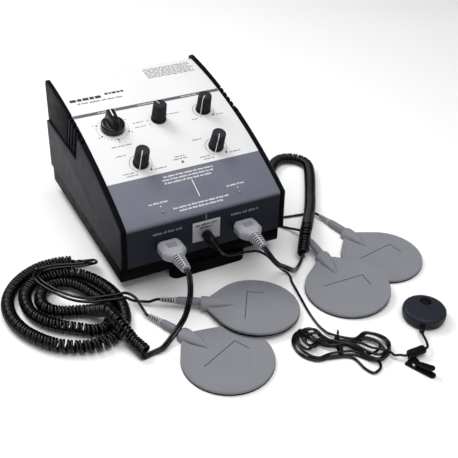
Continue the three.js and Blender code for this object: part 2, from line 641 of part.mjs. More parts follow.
const CURL_B = [[118.5, -28, 7.6], [127, -16, 13.5], [134.5, -6, 20.5], [141.5, 2.5, 23.4],
  [149, 12.5, 22], [159, 26, 17.5], [170, 41, 13.4], [180, 55, 11], [190, 70, 9], [200, 86, 7.2],
  [210, 102, 7], [220.5, 119.5, 7], [231, 138, 7], [237.8, 152.4, 7], [239.5, 163, 7],
  [236.5, 173.5, 7], [230, 181, 7], [221, 185.5, 7], [211, 186.5, 7], [201.5, 183, 7],
  [192, 175, 7], [182, 164, 7], [171.5, 156, 7], [160.5, 154, 7], [152, 161, 7], [149.5, 175, 7],
  [149.5, 205, 7], [149.5, 240, 7], [149.5, 280, 7], [149.5, 310, 7], [146, 323, 7], [133, 330, 7],
  [120, 323, 7], [116.5, 310, 7], [116.5, 280, 7], [116.5, 240, 7], [116.5, 200, 7],
  [116.5, 160, 7], [116.5, 125, 7], [117, 100, 7]];
const TAIL_B1 = [[118.9, 99.6, 7], [119.2, 92, 6], [121.5, 81, 3.4], [127, 72, 1.9], [137, 65.5, 1.8],
  [150, 62, 1.8], [164, 59.5, 1.8], [175, 57.5, 1.9], [181.6, 54.6, 2.6], [185.8, 49, 4.8],
  [187.2, 44, 5.2]];
const TAIL_B2 = [[115.1, 99.6, 7], [115.2, 92, 6], [115.8, 80, 2.8], [118.5, 68, 1.8],
  [124.5, 56, 1.8], [131.5, 46.5, 1.9], [138, 36, 3.4], [141.4, 25, 7.5], [142.6, 14, 11.6],
  [142.2, 10.6, 12.2]];
const SWITCH_LEAD = [[0, -33.4, 59], [1, -39, 58], [6.5, -42.5, 55.5], [15, -42, 53],
  [26, -40, 50.5], [37, -38.5, 48], [48, -38.5, 45], [58, -41, 38], [67, -41.5, 27],
  [76, -40, 15], [84, -39, 6], [89.5, -43, 1.9], [88.8, -50, 1.6], [85.8, -58, 1.6],
  [82.8, -73, 1.6], [79.5, -90, 1.6], [76, -108, 1.6], [73.6, -125, 1.6], [73, -140, 1.6],
  [73.8, -149, 2.4], [75, -155.6, 4.2]];
const SWITCH_TAIL = [[152.3, -224.2, 7.2], [157, -222.8, 7.2], [160.6, -217.5, 7.2],
  [163, -211, 7.2], [165.6, -205, 7.2]];

// Outline of the tied hank: two lobes either side of the tie, and a neck to the clip.
function hankOutline() {
  const points = [[77, -161], [66, -150], [54, -139], [42, -139.5], [34, -148], [31.5, -160],
    [33, -173], [40, -183], [52, -187], [64, -188], [76, -194], [84, -206], [90, -218],
    [99, -219.5], [110, -215.5], [118, -217.5], [129.5, -225.2], [130.9, -221.8],
    [121, -213], [126, -205], [127.5, -196], [124, -184], [117, -176], [106, -172.5],
    [93, -170]];
  return new THREE.Shape(points.map(([x, y]) => new THREE.Vector2(x, y)));
}

function leads() {
  return [
    piece("twin_lead_a", tube(TWIN_A, TWIN_R, 8, 40), CORD_BLACK),
    piece("curl_a", tube(CURL_A, CURL_R, 10, 80), CORD_BLACK),
    piece("tail_a1", tube(TAIL_A1, TAIL_R, 8, 60), CORD_BLACK),
    piece("tail_a2", tube(TAIL_A2, TAIL_R, 8, 60), CORD_BLACK),
    piece("twin_lead_b", tube(TWIN_B, TWIN_R, 8, 24), CORD_BLACK),
    piece("curl_b", tube(CURL_B, CURL_R, 10, 72), CORD_BLACK),
    piece("tail_b1", tube(TAIL_B1, TAIL_R, 8, 24), CORD_BLACK),
    piece("tail_b2", tube(TAIL_B2, TAIL_R, 8, 24), CORD_BLACK),
    piece("switch_lead", tube(SWITCH_LEAD, SWITCH_CORD_R, 8, 60), CORD_BLACK),
    piece("switch_hank", standing(hankOutline(), GAP, 9), CORD_BLACK),
    piece("switch_tail", tube(SWITCH_TAIL, SWITCH_CORD_R, 8, 10), CORD_BLACK),
  ];
}

// ---- patient switch and clip --------------------------------------------------------
const SWITCH_X = 189.5;
const SWITCH_Y = -175.5;
const SWITCH_HEADING = 48;  // from the cord entry through the centre to the button
const BUTTON_R = 6;
const BUTTON_OUT = 11.5;
const BUTTON_TRAVEL = 1.5;

function patientSwitch() {
  const r = SWITCH_R;
  const disc = turned([[0, 0], [r - 3, 0], [r - 1.6, 0.8], [r - 1, 5.2], [r - 1.6, 5.6], [r - 1.6, 6.4],
    [r - 0.2, 6.8], [r, 8], [r - 0.2, 11], [r - 1.6, 13.4], [r - 5, 14.6], [r - 10, SWITCH_H], [0, SWITCH_H]], 48);
  const well = rod(BUTTON_R + GAP, BUTTON_R + GAP, 8, BUTTON_OUT, 0, SWITCH_H - 6, "z", 28);
  const relief = rod(2.2, 3.2, 10, -r - 7, 0, 7.2, "x", 16);
  const body = cut(join(disc, relief), well);
  const button = turned([[0, SWITCH_H - 3.6], [BUTTON_R, SWITCH_H - 3.6], [BUTTON_R, SWITCH_H + 0.2],
    [BUTTON_R - 1.2, SWITCH_H + 0.9], [0, SWITCH_H + 1.2]], 28);
  const group = at(
    SWITCH_X,
    SWITCH_Y,
    0,
    piece("switch_case", body, SWITCH_BLUE),
    piece("switch_button", moved(button, BUTTON_OUT, 0, 0), KNOB_BLACK),
  );
  group.rotation.z = THREE.MathUtils.degToRad(SWITCH_HEADING);
  return group;
}

const CLIP_X = 127.5;
const CLIP_Y = -228;
const CLIP_HEADING = -66;   // direction of the clip's legs
const CLIP_OPEN = 11;       // degrees between the legs as it lies

function legShape(from, to, halfW) {
  const shape = new THREE.Shape();
  shape.moveTo(from, -halfW);
  shape.lineTo(to - halfW, -halfW);
  shape.absarc(to - halfW, 0, halfW, -Math.PI / 2, Math.PI / 2, false);
  shape.lineTo(from, halfW);
  return shape;
}

function clip() {
  const pinX = 9;
  const pinZ = 6;
  const leg = standing(legShape(-1, 33, 4), 0, 2.6);
  const ears = [-3.4, 3.4].map((y) => box(6, 1.2, 7.2, pinX, y, 2));
  const base = join(leg, ...ears);
  const jawLeg = standing(legShape(-4, 22, 3.6), -1.2, 1.3);
  const jawHub = rod(1.8, 1.8, 5, 0, -2.5, 0, "y", 16);
  const reliefs = [-3.9, 3.9].map((y) => box(7.8, 3, 8, 0, y, -4));
  const jawSolid = cut(join(jawLeg, jawHub), ...reliefs);
  const jaw = new THREE.Group();
  jaw.add(piece("clip_jaw", jawSolid, CLIP_BLACK));
  jaw.position.set(pinX, 0, pinZ + 0.6);
  jaw.rotation.y = -THREE.MathUtils.degToRad(CLIP_OPEN);
  const group = at(CLIP_X, CLIP_Y, 0, jaw);
  group.rotation.z = THREE.MathUtils.degToRad(CLIP_HEADING);
  const turn = new THREE.Matrix4().makeRotationZ(THREE.MathUtils.degToRad(CLIP_HEADING));
  turn.setPosition(CLIP_X, CLIP_Y, 0);
  const barrel = cut(rod(5, 5, 20.4, 131.4, -223.8, 7.2, "x", 24),
    rod(2, 2, 24, 130, -223.8, 7.2, "x", 12));
  const web = box(7.4, 9, 4, 135.3, -226.5, 0.6);
  const fixed = join(base.applyMatrix4(turn), barrel, web);
  return [group, piece("clip_base", fixed, CLIP_BLACK)];
}

// ---- assembly -----------------------------------------------------------------------
const CORD_NAMES = /^(twin_lead|curl|tail|switch_lead|switch_hank|switch_tail|plug|switch_plug|pin_connector)/;

function build() {
  const model = new THREE.Group();
  model.add(
    basePan(),
    topCover(),
    cheek("left_cheek", -1),
    cheek("right_cheek", 1),
    rearPanel(),
    panelOverlay(),
    skid("front_skid", 9, 6, 24, 98),
    skid("rear_skid", 0, 226, 244, 120),
    mainBoard(),
    transformer(),
    ...CONTROLS.map(control),
    ...LAMPS.map(lamp),
    jackPlate(),
    patientJack(),
    outputSocket("output_socket_a", -CHANNEL_X),
    outputSocket("output_socket_b", CHANNEL_X),
    mainsInlet(),
    fuseCap(),
    outputPlug("plug_a", -CHANNEL_X),
    outputPlug("plug_b", CHANNEL_X),
    switchPlug(),
    ...PADS.map(padGroup),
    ...leads(),
    patientSwitch(),
    ...clip(),
  );
  model.updateMatrixWorld(true);
  const extent = new THREE.Box3();
  model.traverse((part) => {
    if (part.isMesh && !CORD_NAMES.test(part.name)) extent.expandByObject(part, true);
  });
  const middle = extent.getCenter(new THREE.Vector3());
  model.position.set(-middle.x, -middle.y, -extent.min.z);
  const scene = new THREE.Group();
  scene.add(model);
  return scene;
}

export default build();
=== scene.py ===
"""Desktop two-channel stimulator: the visual model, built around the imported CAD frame."""
import math

import bmesh
import bpy
from mathutils import Matrix, Vector


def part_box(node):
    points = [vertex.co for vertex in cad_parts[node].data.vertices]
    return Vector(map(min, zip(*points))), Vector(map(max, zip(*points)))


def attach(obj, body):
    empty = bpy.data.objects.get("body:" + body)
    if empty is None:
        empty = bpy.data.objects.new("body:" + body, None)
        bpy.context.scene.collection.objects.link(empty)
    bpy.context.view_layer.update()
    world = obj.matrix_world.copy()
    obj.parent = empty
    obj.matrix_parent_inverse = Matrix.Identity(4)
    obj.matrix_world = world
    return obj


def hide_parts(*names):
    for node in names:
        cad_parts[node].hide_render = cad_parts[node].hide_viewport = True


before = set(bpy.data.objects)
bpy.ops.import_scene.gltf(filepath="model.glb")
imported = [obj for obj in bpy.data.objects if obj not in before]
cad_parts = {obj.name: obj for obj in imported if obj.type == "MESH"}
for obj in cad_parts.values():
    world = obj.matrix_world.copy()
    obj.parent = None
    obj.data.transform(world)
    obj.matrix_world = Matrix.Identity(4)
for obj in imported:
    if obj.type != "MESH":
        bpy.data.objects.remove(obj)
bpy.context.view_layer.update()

MM = 0.001
cover_low, cover_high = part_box("top_cover")
ORIGIN_X = (cover_low.x + cover_high.x) / 2
ORIGIN_Y = cover_low.y


def place(x, y, z=0.0):
    """A point of the console's own frame, in mm, as a point of the row frame."""
    return Vector((ORIGIN_X + x * MM, ORIGIN_Y + y * MM, z * MM))


ROW = Matrix.Translation(place(0, 0, 0)) @ Matrix.Scale(MM, 4)

# sizes that several parts share, in the console's mm
PANEL_R, PANEL_DEPTH, FOLD_Z, PANEL_TOP = 585.0, 253.0, 91.0, 158.5
FILM_TOP = 0.9              # height of the printed film over the arc
SHEET = 2.0                 # thickness of the cover
BAND_END = 55.78            # where the grey-blue band stops, in plan
SOCKET_Z = 59.0             # height of the sockets and the jack
REAR_Y = 255.8              # outer face of the rear panel
ROW_1, ROW_2, STRIPE_UP = 82.0, 144.5, 177.0        # distances up the panel
TIMER_X, MODE_X, RATE_X, CHANNEL_X = -59.0, 0.0, 60.0, 48.5

# the view: lens in mm; azimuth, elevation and roll in degrees; where the camera stands
LENS = 65.8
VIEW_ANGLES = (-28.49, 35.13, 2.15)
VIEW_FROM = (-352.9, -705.6, 622.0)


# ---- camera -----------------------------------------------------------------------
def make_camera():
    data = bpy.data.cameras.new("camera")
    data.sensor_width = 36.0
    data.lens = LENS
    data.clip_start = 0.05
    data.clip_end = 50.0
    camera = linked("camera", data)
    azimuth, elevation, roll = (math.radians(v) for v in VIEW_ANGLES)
    back = Vector((
        math.sin(azimuth) * math.cos(elevation),
        -math.cos(azimuth) * math.cos(elevation),
        math.sin(elevation),
    ))
    right = (-back).cross(Vector((0, 0, 1))).normalized()
    up = back.cross(right)
    right_r = right * math.cos(roll) + up * math.sin(roll)
    up_r = up * math.cos(roll) - right * math.sin(roll)
    turn = Matrix((right_r, up_r, back)).transposed()
    camera.matrix_world = Matrix.Translation(place(*VIEW_FROM)) @ turn.to_4x4()
    bpy.context.scene.camera = camera


# ---- materials --------------------------------------------------------------------
def rgb(r, g, b):
    """Screen colour values from 0 to 255 as a linear colour."""
    def linear(v):
        v /= 255.0
        return v / 12.92 if v <= 0.04045 else ((v + 0.055) / 1.055) ** 2.4
    return (linear(r), linear(g), linear(b), 1.0)


def scaled(color, factor):
    return tuple(min(1.0, c * factor) for c in color[:3]) + (1.0,)


class Shader:
    """A Principled material whose colour, roughness and bump come from object-space noise."""

    def __init__(self, name, metallic=0.0, specular=0.5, coat=0.0):
        self.material = bpy.data.materials.new(name)
        self.material.use_nodes = True
        self.tree = self.material.node_tree
        self.surface = self.tree.nodes["Principled BSDF"].inputs
        self.surface["Metallic"].default_value = metallic
        self.surface["Specular IOR Level"].default_value = specular
        if coat:
            self.surface["Coat Weight"].default_value = coat
            self.surface["Coat Roughness"].default_value = 0.12
        self.coords = self.node("TexCoord").outputs["Object"]
        self.height = None

    def feed(self, socket, value):
        """Links a value that is a socket itself, and sets any other value."""
        if isinstance(value, bpy.types.NodeSocket):
            self.tree.links.new(value, socket)
        else:
            socket.default_value = value

    def node(self, kind, **inputs):
        node = self.tree.nodes.new("ShaderNode" + kind)
        for key, value in inputs.items():
            self.feed(node.inputs[key.replace("_", " ")], value)
        return node

    def noise(self, scale, detail=3.0, stretch=None):
        source = self.coords
        if stretch:
            source = self.node("Mapping", Vector=source, Scale=stretch).outputs["Vector"]
        return self.node("TexNoise", Vector=source, Scale=scale, Detail=detail,
                         Roughness=0.55).outputs["Fac"]

    def ramp(self, value, low, high, a, b):
        """Colour a below low, colour b above high."""
        node = self.node("ValToRGB", Fac=value)
        for element, position, color in zip(node.color_ramp.elements, (low, high), (a, b)):
            element.position, element.color = position, color
        return node.outputs["Color"]

    def remap(self, value, low, high, to_low, to_high):
        return self.node("MapRange", Value=value, From_Min=low, From_Max=high, To_Min=to_low,
                         To_Max=to_high).outputs["Result"]

    def mix(self, factor, a, b):
        node = self.node("Mix")
        node.data_type = "RGBA"
        self.feed(node.inputs["Factor"], factor)
        for key, value in (("A", a), ("B", b)):
            self.feed(next(s for s in node.inputs if s.name == key and s.type == "RGBA"), value)
        return next(s for s in node.outputs if s.type == "RGBA")

    def axis(self, name):
        return self.node("SeparateXYZ", Vector=self.coords).outputs[name]

    def math(self, operation, a, b=None):
        node = self.node("Math")
        node.operation = operation
        for socket, value in zip(node.inputs, (a, b)):
            if value is not None:
                self.feed(socket, value)
        return node.outputs["Value"]

    def color(self, socket):
        self.feed(self.surface["Base Color"], socket)

    def roughness(self, noise, low, high):
        self.feed(self.surface["Roughness"], self.remap(noise, 0.3, 0.7, low, high))

    def bump(self, socket, distance, strength=1.0):
        node = self.node("Bump", Height=socket, Distance=distance, Strength=strength)
        if self.height is not None:
            self.feed(node.inputs["Normal"], self.height)
        self.height = node.outputs["Normal"]
        self.feed(self.surface["Normal"], self.height)


def moulded(name, color, rough=0.5, vary=0.12, grain=1400.0, depth=0.00003, **kw):
    """Moulded plastic or rubber: fine texture, faint mottling, dust that dulls it in patches."""
    s = Shader(name, **kw)
    cloud = s.noise(38.0, 4.0)
    fine = s.noise(grain, 2.0)
    body = s.ramp(cloud, 0.32, 0.7, scaled(color, 1 - vary), scaled(color, 1 + vary))
    speck = s.ramp(fine, 0.42, 0.62, scaled(color, 0.9), scaled(color, 1.1))
    s.color(s.mix(0.35, body, speck))
    s.roughness(s.noise(90.0, 3.0), rough - 0.07, rough + 0.09)
    s.bump(fine, depth)
    s.bump(cloud, 0.00006, 0.5)
    return s.material


def metal(name, color, low, high, metallic=1.0, grain=420.0, stretch=40, dark=0.82, light=1.1,
          patches=60.0):
    """Metal or metallic paint with fine lines along Z; roughness from low to high."""
    s = Shader(name, metallic=metallic)
    lines = s.noise(grain, stretch=(1, 1, stretch))
    s.color(s.ramp(lines, 0.3, 0.7, scaled(color, dark), scaled(color, light)))
    s.roughness(s.noise(patches), low, high)
    s.bump(lines, 0.00002)
    return s.material


# ---- mesh building ----------------------------------------------------------------
def linked(name, data):
    obj = bpy.data.objects.new(name, data)
    bpy.context.scene.collection.objects.link(obj)
    return obj


def shift(x, y, z):
    return Matrix.Translation(Vector((x, y, z)))


def spin(degrees, axis="Z"):
    return Matrix.Rotation(math.radians(degrees), 4, axis)


def full_turn(sides):
    """The angles of a full turn, in equal steps."""
    return [2 * math.pi * i / sides for i in range(sides)]


def squared(value, power):
    """A sine or cosine drawn towards a square outline, with its sign kept."""
    return math.copysign(abs(value) ** power, value)


class Solid:
    """Vertices and faces in mm, gathered from swept, turned and extruded forms."""

    def __init__(self):
        self.verts = []
        self.faces = []

    def skin(self, rings, loop=False):
        """Faces between rings; the ends are capped unless the last ring meets the first."""
        base, n = len(self.verts), len(rings[0])
        for ring in rings:
            self.verts.extend(Vector(p) for p in ring)
        count = len(rings)
        for k in range(count if loop else count - 1):
            for i in range(n):
                j = (i + 1) % n
                a, b = base + k * n, base + ((k + 1) % count) * n
                self.faces.append((a + i, a + j, b + j, b + i))
        if not loop:
            self.faces.append(tuple(base + i for i in reversed(range(n))))
            self.faces.append(tuple(base + (count - 1) * n + i for i in range(n)))
        return self

    def turn(self, profile, sides=48, wave=None, axis="z"):
        """Solid of revolution. wave(angle, radius, height) may change a radius."""
        rings = []
        for r, h in profile:
            ring = []
            for t in full_turn(sides):
                q = wave(t, r, h) if wave else r
                a, b = q * math.cos(t), q * math.sin(t)
                ring.append({"x": (h, a, b), "y": (a, h, -b), "z": (a, b, h)}[axis])
            rings.append(ring)
        return self.skin(rings)

    def block(self, x0, x1, y0, y1, z0, z1):
        low = [(x0, y0, z0), (x1, y0, z0), (x1, y1, z0), (x0, y1, z0)]
        return self.skin([low, [(x, y, z1) for x, y, _ in low]])

    def sheet(self, outline, under, over):
        """Closed thin form over a 2-D outline. under and over map a point to 3-D."""
        return self.skin([[under(*p) for p in outline], [over(*p) for p in outline]])

    def moved(self, matrix):
        self.verts = [matrix @ v for v in self.verts]
        return self

    def join(self, other):
        base = len(self.verts)
        self.verts.extend(other.verts)
        self.faces.extend(tuple(base + i for i in f) for f in other.faces)
        return self

    def built(self, name, matrix):
        """The form as a Blender object. matrix maps its mm to row metres."""
        mesh = bpy.data.meshes.new(name)
        mesh.from_pydata([matrix @ v for v in self.verts], [], self.faces)
        fix_normals(mesh)
        return linked(name, mesh)

    def piece(self, name, material, slot, matrix=None, replaces=(), angle=32, bevel=0.0,
              body="console"):
        """The form as a finished piece on one body, in place of the nodes that it replaces."""
        obj = self.built(name, matrix or ROW)
        dress(obj, material, angle, bevel)
        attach(obj, body)
        if replaces:
            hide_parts(*replaces)
        return obj


def fix_normals(mesh):
    bm = bmesh.new()
    bm.from_mesh(mesh)
    bmesh.ops.remove_doubles(bm, verts=bm.verts, dist=1e-7)
    bmesh.ops.recalc_face_normals(bm, faces=bm.faces)
    bm.to_mesh(mesh)
    bm.free()


def dress(obj, material, angle, bevel):
    """Material and smooth shading. A bevel softens the edges that are sharper than angle."""
    obj.data.materials.clear()
    obj.data.materials.append(material)
    obj.data.shade_smooth()
    if not bevel:
        obj.data.set_sharp_from_angle(angle=math.radians(angle))
        return
    mod = obj.modifiers.new("bevel", "BEVEL")
    mod.width = bevel * MM
    mod.segments = 2
    mod.limit_method = "ANGLE"
    mod.angle_limit = math.radians(angle)
    mod.harden_normals = True


def carve(target, form, matrix, lining=None):
    """Takes a form out of a piece's mesh; the faces it leaves can have their own lining."""
    cutter = form.built("cutter", matrix)
    mod = target.modifiers.new("cut", "BOOLEAN")
    mod.operation = "DIFFERENCE"
    mod.solver = "EXACT"
    mod.object = cutter
    if lining:
        cutter.data.materials.append(lining)
        mod.material_mode = "TRANSFER"
    depsgraph = bpy.context.evaluated_depsgraph_get()
    made = bpy.data.meshes.new_from_object(target.evaluated_get(depsgraph))
    target.modifiers.remove(mod)
    old = target.data
    made.name = old.name + "_cut"
    target.data = made
    bpy.data.meshes.remove(old)
    bpy.data.objects.remove(cutter)
    made.shade_smooth()
    made.set_sharp_from_angle(angle=math.radians(28))


# ---- routes -----------------------------------------------------------------------
def through(points, step):
    """Evenly spaced points, step mm apart, on the smooth curve through the given ones."""
    pts = [Vector(p) for p in points]
    pts = [pts[0] * 2 - pts[1]] + pts + [pts[-1] * 2 - pts[-2]]
    dense = []
    for i in range(1, len(pts) - 2):
        p0, p1, p2, p3 = pts[i - 1:i + 3]
        t1 = (p1 - p0).length ** 0.5
        t2 = t1 + (p2 - p1).length ** 0.5
        t3 = t2 + (p3 - p2).length ** 0.5
        steps = max(8, int((p2 - p1).length * 2))
        for k in range(steps):
            t = t1 + (t2 - t1) * k / steps
            a1 = p0 * ((t1 - t) / t1) + p1 * (t / t1)
            a2 = p1 * ((t2 - t) / (t2 - t1)) + p2 * ((t - t1) / (t2 - t1))
            a3 = p2 * ((t3 - t) / (t3 - t2)) + p3 * ((t - t2) / (t3 - t2))
            b1 = a1 * ((t2 - t) / t2) + a2 * (t / t2)
            b2 = a2 * ((t3 - t) / (t3 - t1)) + a3 * ((t - t1) / (t3 - t1))
            dense.append(b1 * ((t2 - t) / (t2 - t1)) + b2 * ((t - t1) / (t2 - t1)))
    dense.append(pts[-2])
    return evenly(dense, step)


def length_of(points):
    return sum((b - a).length for a, b in zip(points, points[1:]))


def evenly(points, step):
    total = length_of(points)
    count = max(2, int(round(total / step)))
    gap, made, run = total / count, [points[0].copy()], 0.0
    want = gap
    for a, b in zip(points, points[1:]):
        span = (b - a).length
        while run + span >= want - 1e-9 and len(made) < count:
            made.append(a.lerp(b, (want - run) / span))
            want += gap
        run += span
    made.append(points[-1].copy())
    return made


def tangents(points):
    out = []
    for i in range(len(points)):
        a, b = points[max(0, i - 1)], points[min(len(points) - 1, i + 1)]
        out.append((b - a).normalized())
    return out


def carried(points, first):
    """A normal carried along the points without twist, starting near first."""
    ts = tangents(points)
    n = (first - ts[0] * first.dot(ts[0])).normalized()
    out = [n]
    for a, b in zip(ts, ts[1:]):
        turn = a.rotation_difference(b)
        n = turn @ n
        n = (n - b * n.dot(b)).normalized()
        out.append(n)
    return out, ts


def swept(points, section, sideways):
    """Rings of a section along points; the section's first axis lies along sideways."""
    rings = []
    for p, t, w in zip(points, tangents(points), sideways):
        w = (w - t * w.dot(t)).normalized()
        h = t.cross(w)
        rings.append([p + w * a + h * b for a, b in section])
    return rings


def circle(radius, sides):
    return [(radius * math.cos(t), radius * math.sin(t)) for t in full_turn(sides)]


def smooth(x):
    x = min(1.0, max(0.0, x))
    return x * x * (3 - 2 * x)


# ---- leads ------------------------------------------------------------------------
TWIN_A = [(-48.5, -50.7, 59), (-48.6, -57, 58), (-51, -66, 52), (-54, -73, 43.5),
          (-58.2, -76.5, 30), (-64, -80.5, 19.8), (-72.5, -84.5, 12.4), (-82.6, -90, 7.6),
          (-91.5, -95.5, 5.1), (-99.5, -99.5, 3.7)]
CURL_A = [(-119.4, -101.8, 7), (-120.9, -94, 7.3), (-125.6, -80, 9.6), (-130, -72, 18),
          (-133, -62, 22.8), (-135, -50, 23.2), (-137.5, -39, 22.2), (-142, -29, 16.6),
          (-147, -20, 10.6), (-154, -12.5, 7.4), (-165, -8, 7), (-178, -2.5, 7), (-188, 5.5, 7),
          (-193, 16, 7), (-193, 27, 7), (-188.5, 37.5, 7), (-177, 45.5, 7), (-164.5, 46, 7),
          (-153, 40, 7), (-144.5, 28.5, 7), (-138, 14, 7), (-131.5, -2, 7), (-128.4, -16, 7),
          (-130, -29, 7), (-134.4, -39.6, 7), (-143.5, -48.6, 7), (-156, -47, 7), (-170, -37, 7),
          (-187, -24, 7), (-200, -9, 7), (-208.5, 10, 7), (-209.5, 28, 7), (-206, 43.5, 7),
          (-197, 55.5, 7), (-184, 62.5, 7), (-169.7, 63.5, 7), (-153, 60, 7), (-138, 51, 7),
          (-126, 34.5, 7), (-117.6, 14, 7), (-113.8, -9, 7), (-115, -28, 7), (-120, -45, 7),
          (-131, -60, 7), (-144, -67.5, 7), (-158, -69.5, 7), (-172, -67, 7), (-187, -60, 7),
          (-200.5, -50, 7), (-213, -35, 7), (-224, -15, 7), (-230, 8, 7), (-229.5, 30, 7),
          (-223, 49, 7), (-210, 66, 7), (-194, 77.5, 7), (-176, 84.5, 7), (-158, 85, 7),
          (-145, 82, 7), (-134, 77, 7)]
TAIL_A1 = [(-132.7, 74.2, 7), (-126, 71.4, 7.2), (-119.5, 67, 9.5), (-120, 60.5, 13),
           (-128, 59.5, 16.9), (-141, 63, 17.2), (-155, 68, 17.2), (-170, 71, 17.2),
           (-183, 69, 17.2), (-190, 60, 17.2), (-188.5, 46, 17.2), (-182, 30, 17.2),
           (-170, 9, 17.2), (-158, -4, 17.2), (-146.5, -10.5, 17.2), (-131, -15, 17.2),
           (-118.5, -18, 17.2), (-109.5, -18.5, 16.4), (-103, -18, 10.8), (-97, -18, 6.4),
           (-90, -19.8, 4.6), (-83, -25.5, 6.2), (-75.2, -30, 10.2)]
TAIL_A2 = [(-131.3, 77.9, 7), (-123.5, 76, 7.2), (-114.5, 70, 9.5), (-114.5, 60, 13),
           (-123, 54.5, 17.0), (-136, 56, 17.2), (-150, 61, 17.2), (-166, 65, 17.2),
           (-178, 64, 17.2), (-184.5, 57, 17.2), (-183.5, 46, 17.2), (-177, 31, 17.2),
           (-166, 13, 17.2), (-154, 1, 17.2), (-142, -4.5, 17.2), (-128, -8, 17.2),
           (-114.5, -10.5, 17.2), (-107, -11.4, 16.8), (-101, -13, 14), (-96.8, -19, 11.6),
           (-95, -28.5, 7.6), (-94, -37, 5.4), (-93.8, -44.3, 5.2)]
TWIN_B = [(48.5, -50.7, 59), (48.5, -54, 58.8), (49.6, -59.5, 56), (53.5, -64, 49),
          (62, -63.5, 38), (73, -58, 27.5), (83, -54.5, 18.5), (92, -50, 10.5),
          (100, -44, 5.5), (108.5, -37, 4.4), (116.5, -30, 6.2)]
CURL_B = [(118.5, -28, 7.6), (127, -16, 13.5), (134.5, -6, 20.5), (141.5, 2.5, 23.4),
          (149, 12.5, 22), (159, 26, 17.5), (170, 41, 13.4), (180, 55, 11), (190, 70, 9),
          (200, 86, 7.2), (210, 102, 7), (220.5, 119.5, 7), (231, 138, 7), (237.8, 152.4, 7),
          (239.5, 163, 7), (236.5, 173.5, 7), (230, 181, 7), (221, 185.5, 7),
          (211, 186.5, 7), (201.5, 183, 7), (192, 175, 7), (182, 164, 7), (171.5, 156, 7),
          (160.5, 154, 7), (152, 161, 7), (149.5, 175, 7), (149.5, 205, 7), (149.5, 240, 7),
          (149.5, 280, 7), (149.5, 310, 7), (146, 323, 7), (133, 330, 7), (120, 323, 7),
          (116.5, 310, 7), (116.5, 280, 7), (116.5, 240, 7), (116.5, 200, 7), (116.5, 160, 7),
          (116.5, 125, 7), (117, 100, 7)]
TAIL_B1 = [(118.9, 99.6, 7), (119.2, 92, 6), (121.5, 81, 3.4), (127, 72, 1.9),
           (137, 65.5, 1.8), (150, 62, 1.8), (164, 59.5, 1.8), (175, 57.5, 1.9),
           (181.6, 54.6, 2.6), (185.8, 49, 4.8), (187.2, 44, 5.2)]
TAIL_B2 = [(115.1, 99.6, 7), (115.2, 92, 6), (115.8, 80, 2.8), (118.5, 68, 1.8),
           (124.5, 56, 1.8), (131.5, 46.5, 1.9), (138, 36, 3.4), (141.4, 25, 7.5),
           (142.6, 14, 11.6), (142.2, 10.6, 12.2)]
SWITCH_LEAD = [(0, -33.4, 59), (1, -39, 58), (6.5, -42.5, 55.5), (15, -42, 53),
               (26, -40, 50.5), (37, -38.5, 48), (48, -38.5, 45), (58, -41, 38),
               (67, -41.5, 27), (76, -40, 15), (84, -39, 6), (89.5, -43, 1.9),
               (88.8, -50, 1.6), (85.8, -58, 1.6), (82.8, -73, 1.6), (79.5, -90, 1.6),
               (76, -108, 1.6), (73.6, -125, 1.6), (73, -140, 1.6), (73.8, -149, 2.4),
               (75, -155.6, 3.4)]
SWITCH_TAIL = [(152.3, -224.2, 7.2), (157, -222.8, 7.2), (160.6, -217.5, 7.2),
               (163, -211, 7.2), (164.6, -205.6, 7.2), (167, -200.6, 7.2), (169.6, -197.6, 7.2)]


WIRE = 1.52                 # radius of each conductor of the flat twin lead
WIRE_APART = 1.84           # from the middle of the lead to the middle of a conductor
WEB = 0.16                  # half thickness of the web between the conductors
CURL_COIL_R = 6.05          # radius of the curl's winding, to the middle of the lead
CURL_PITCH = 7.8            # along the curl, from one turn to the next
CURL_LIFT = 0.85            # keeps the wider winding clear of the floor
CURL_STEP = 0.52            # between points along a curl
LOOSE_Y, LOOSE_FROM = -44, 560.0    # in front of this, and past this length, the curl opens
TAIL_D = 3.3
SWITCH_D = 2.9
TAIL_STEP, SWITCH_STEP = 1.8, 1.6


def twin_section():
    """Two round conductors side by side, joined by a thin web."""
    half = []
    for degrees in range(-160, 161, 32):
        t = math.radians(degrees)
        half.append((WIRE_APART + WIRE * math.cos(t), WIRE * math.sin(t)))
    return half + [(0.0, WEB)] + [(-a, -b) for a, b in half] + [(0.0, -WEB)]


def lay_cord(name, points, section, sideways, material, angle, replaced):
    """A cord swept along points."""
    solid = Solid().skin(swept(points, section, sideways))
    piece = solid.piece(name, material, "cord_black", angle=angle, replaces=replaced)


def run_below(straight, meet, onward, along):
    """A plain run to the underside of the first turn, turned to lie along the curl there."""
    run = through(straight + [meet - onward * 9.0 + Vector((0, 0, 0.4)), meet], 1.5)[:-1]
    level, _ = carried(run, Vector((1, 0, 0)))
    if level[-1].dot(along) < 0:
        level = [-v for v in level]
    total, travelled, sideways = length_of(run), 0.0, []
    for i, v in enumerate(level):
        if i:
            travelled += (run[i] - run[i - 1]).length
        into = smooth(travelled / total * 1.5 - 0.5)
        sideways.append(v * (1 - into) + along * into)
    return run, sideways


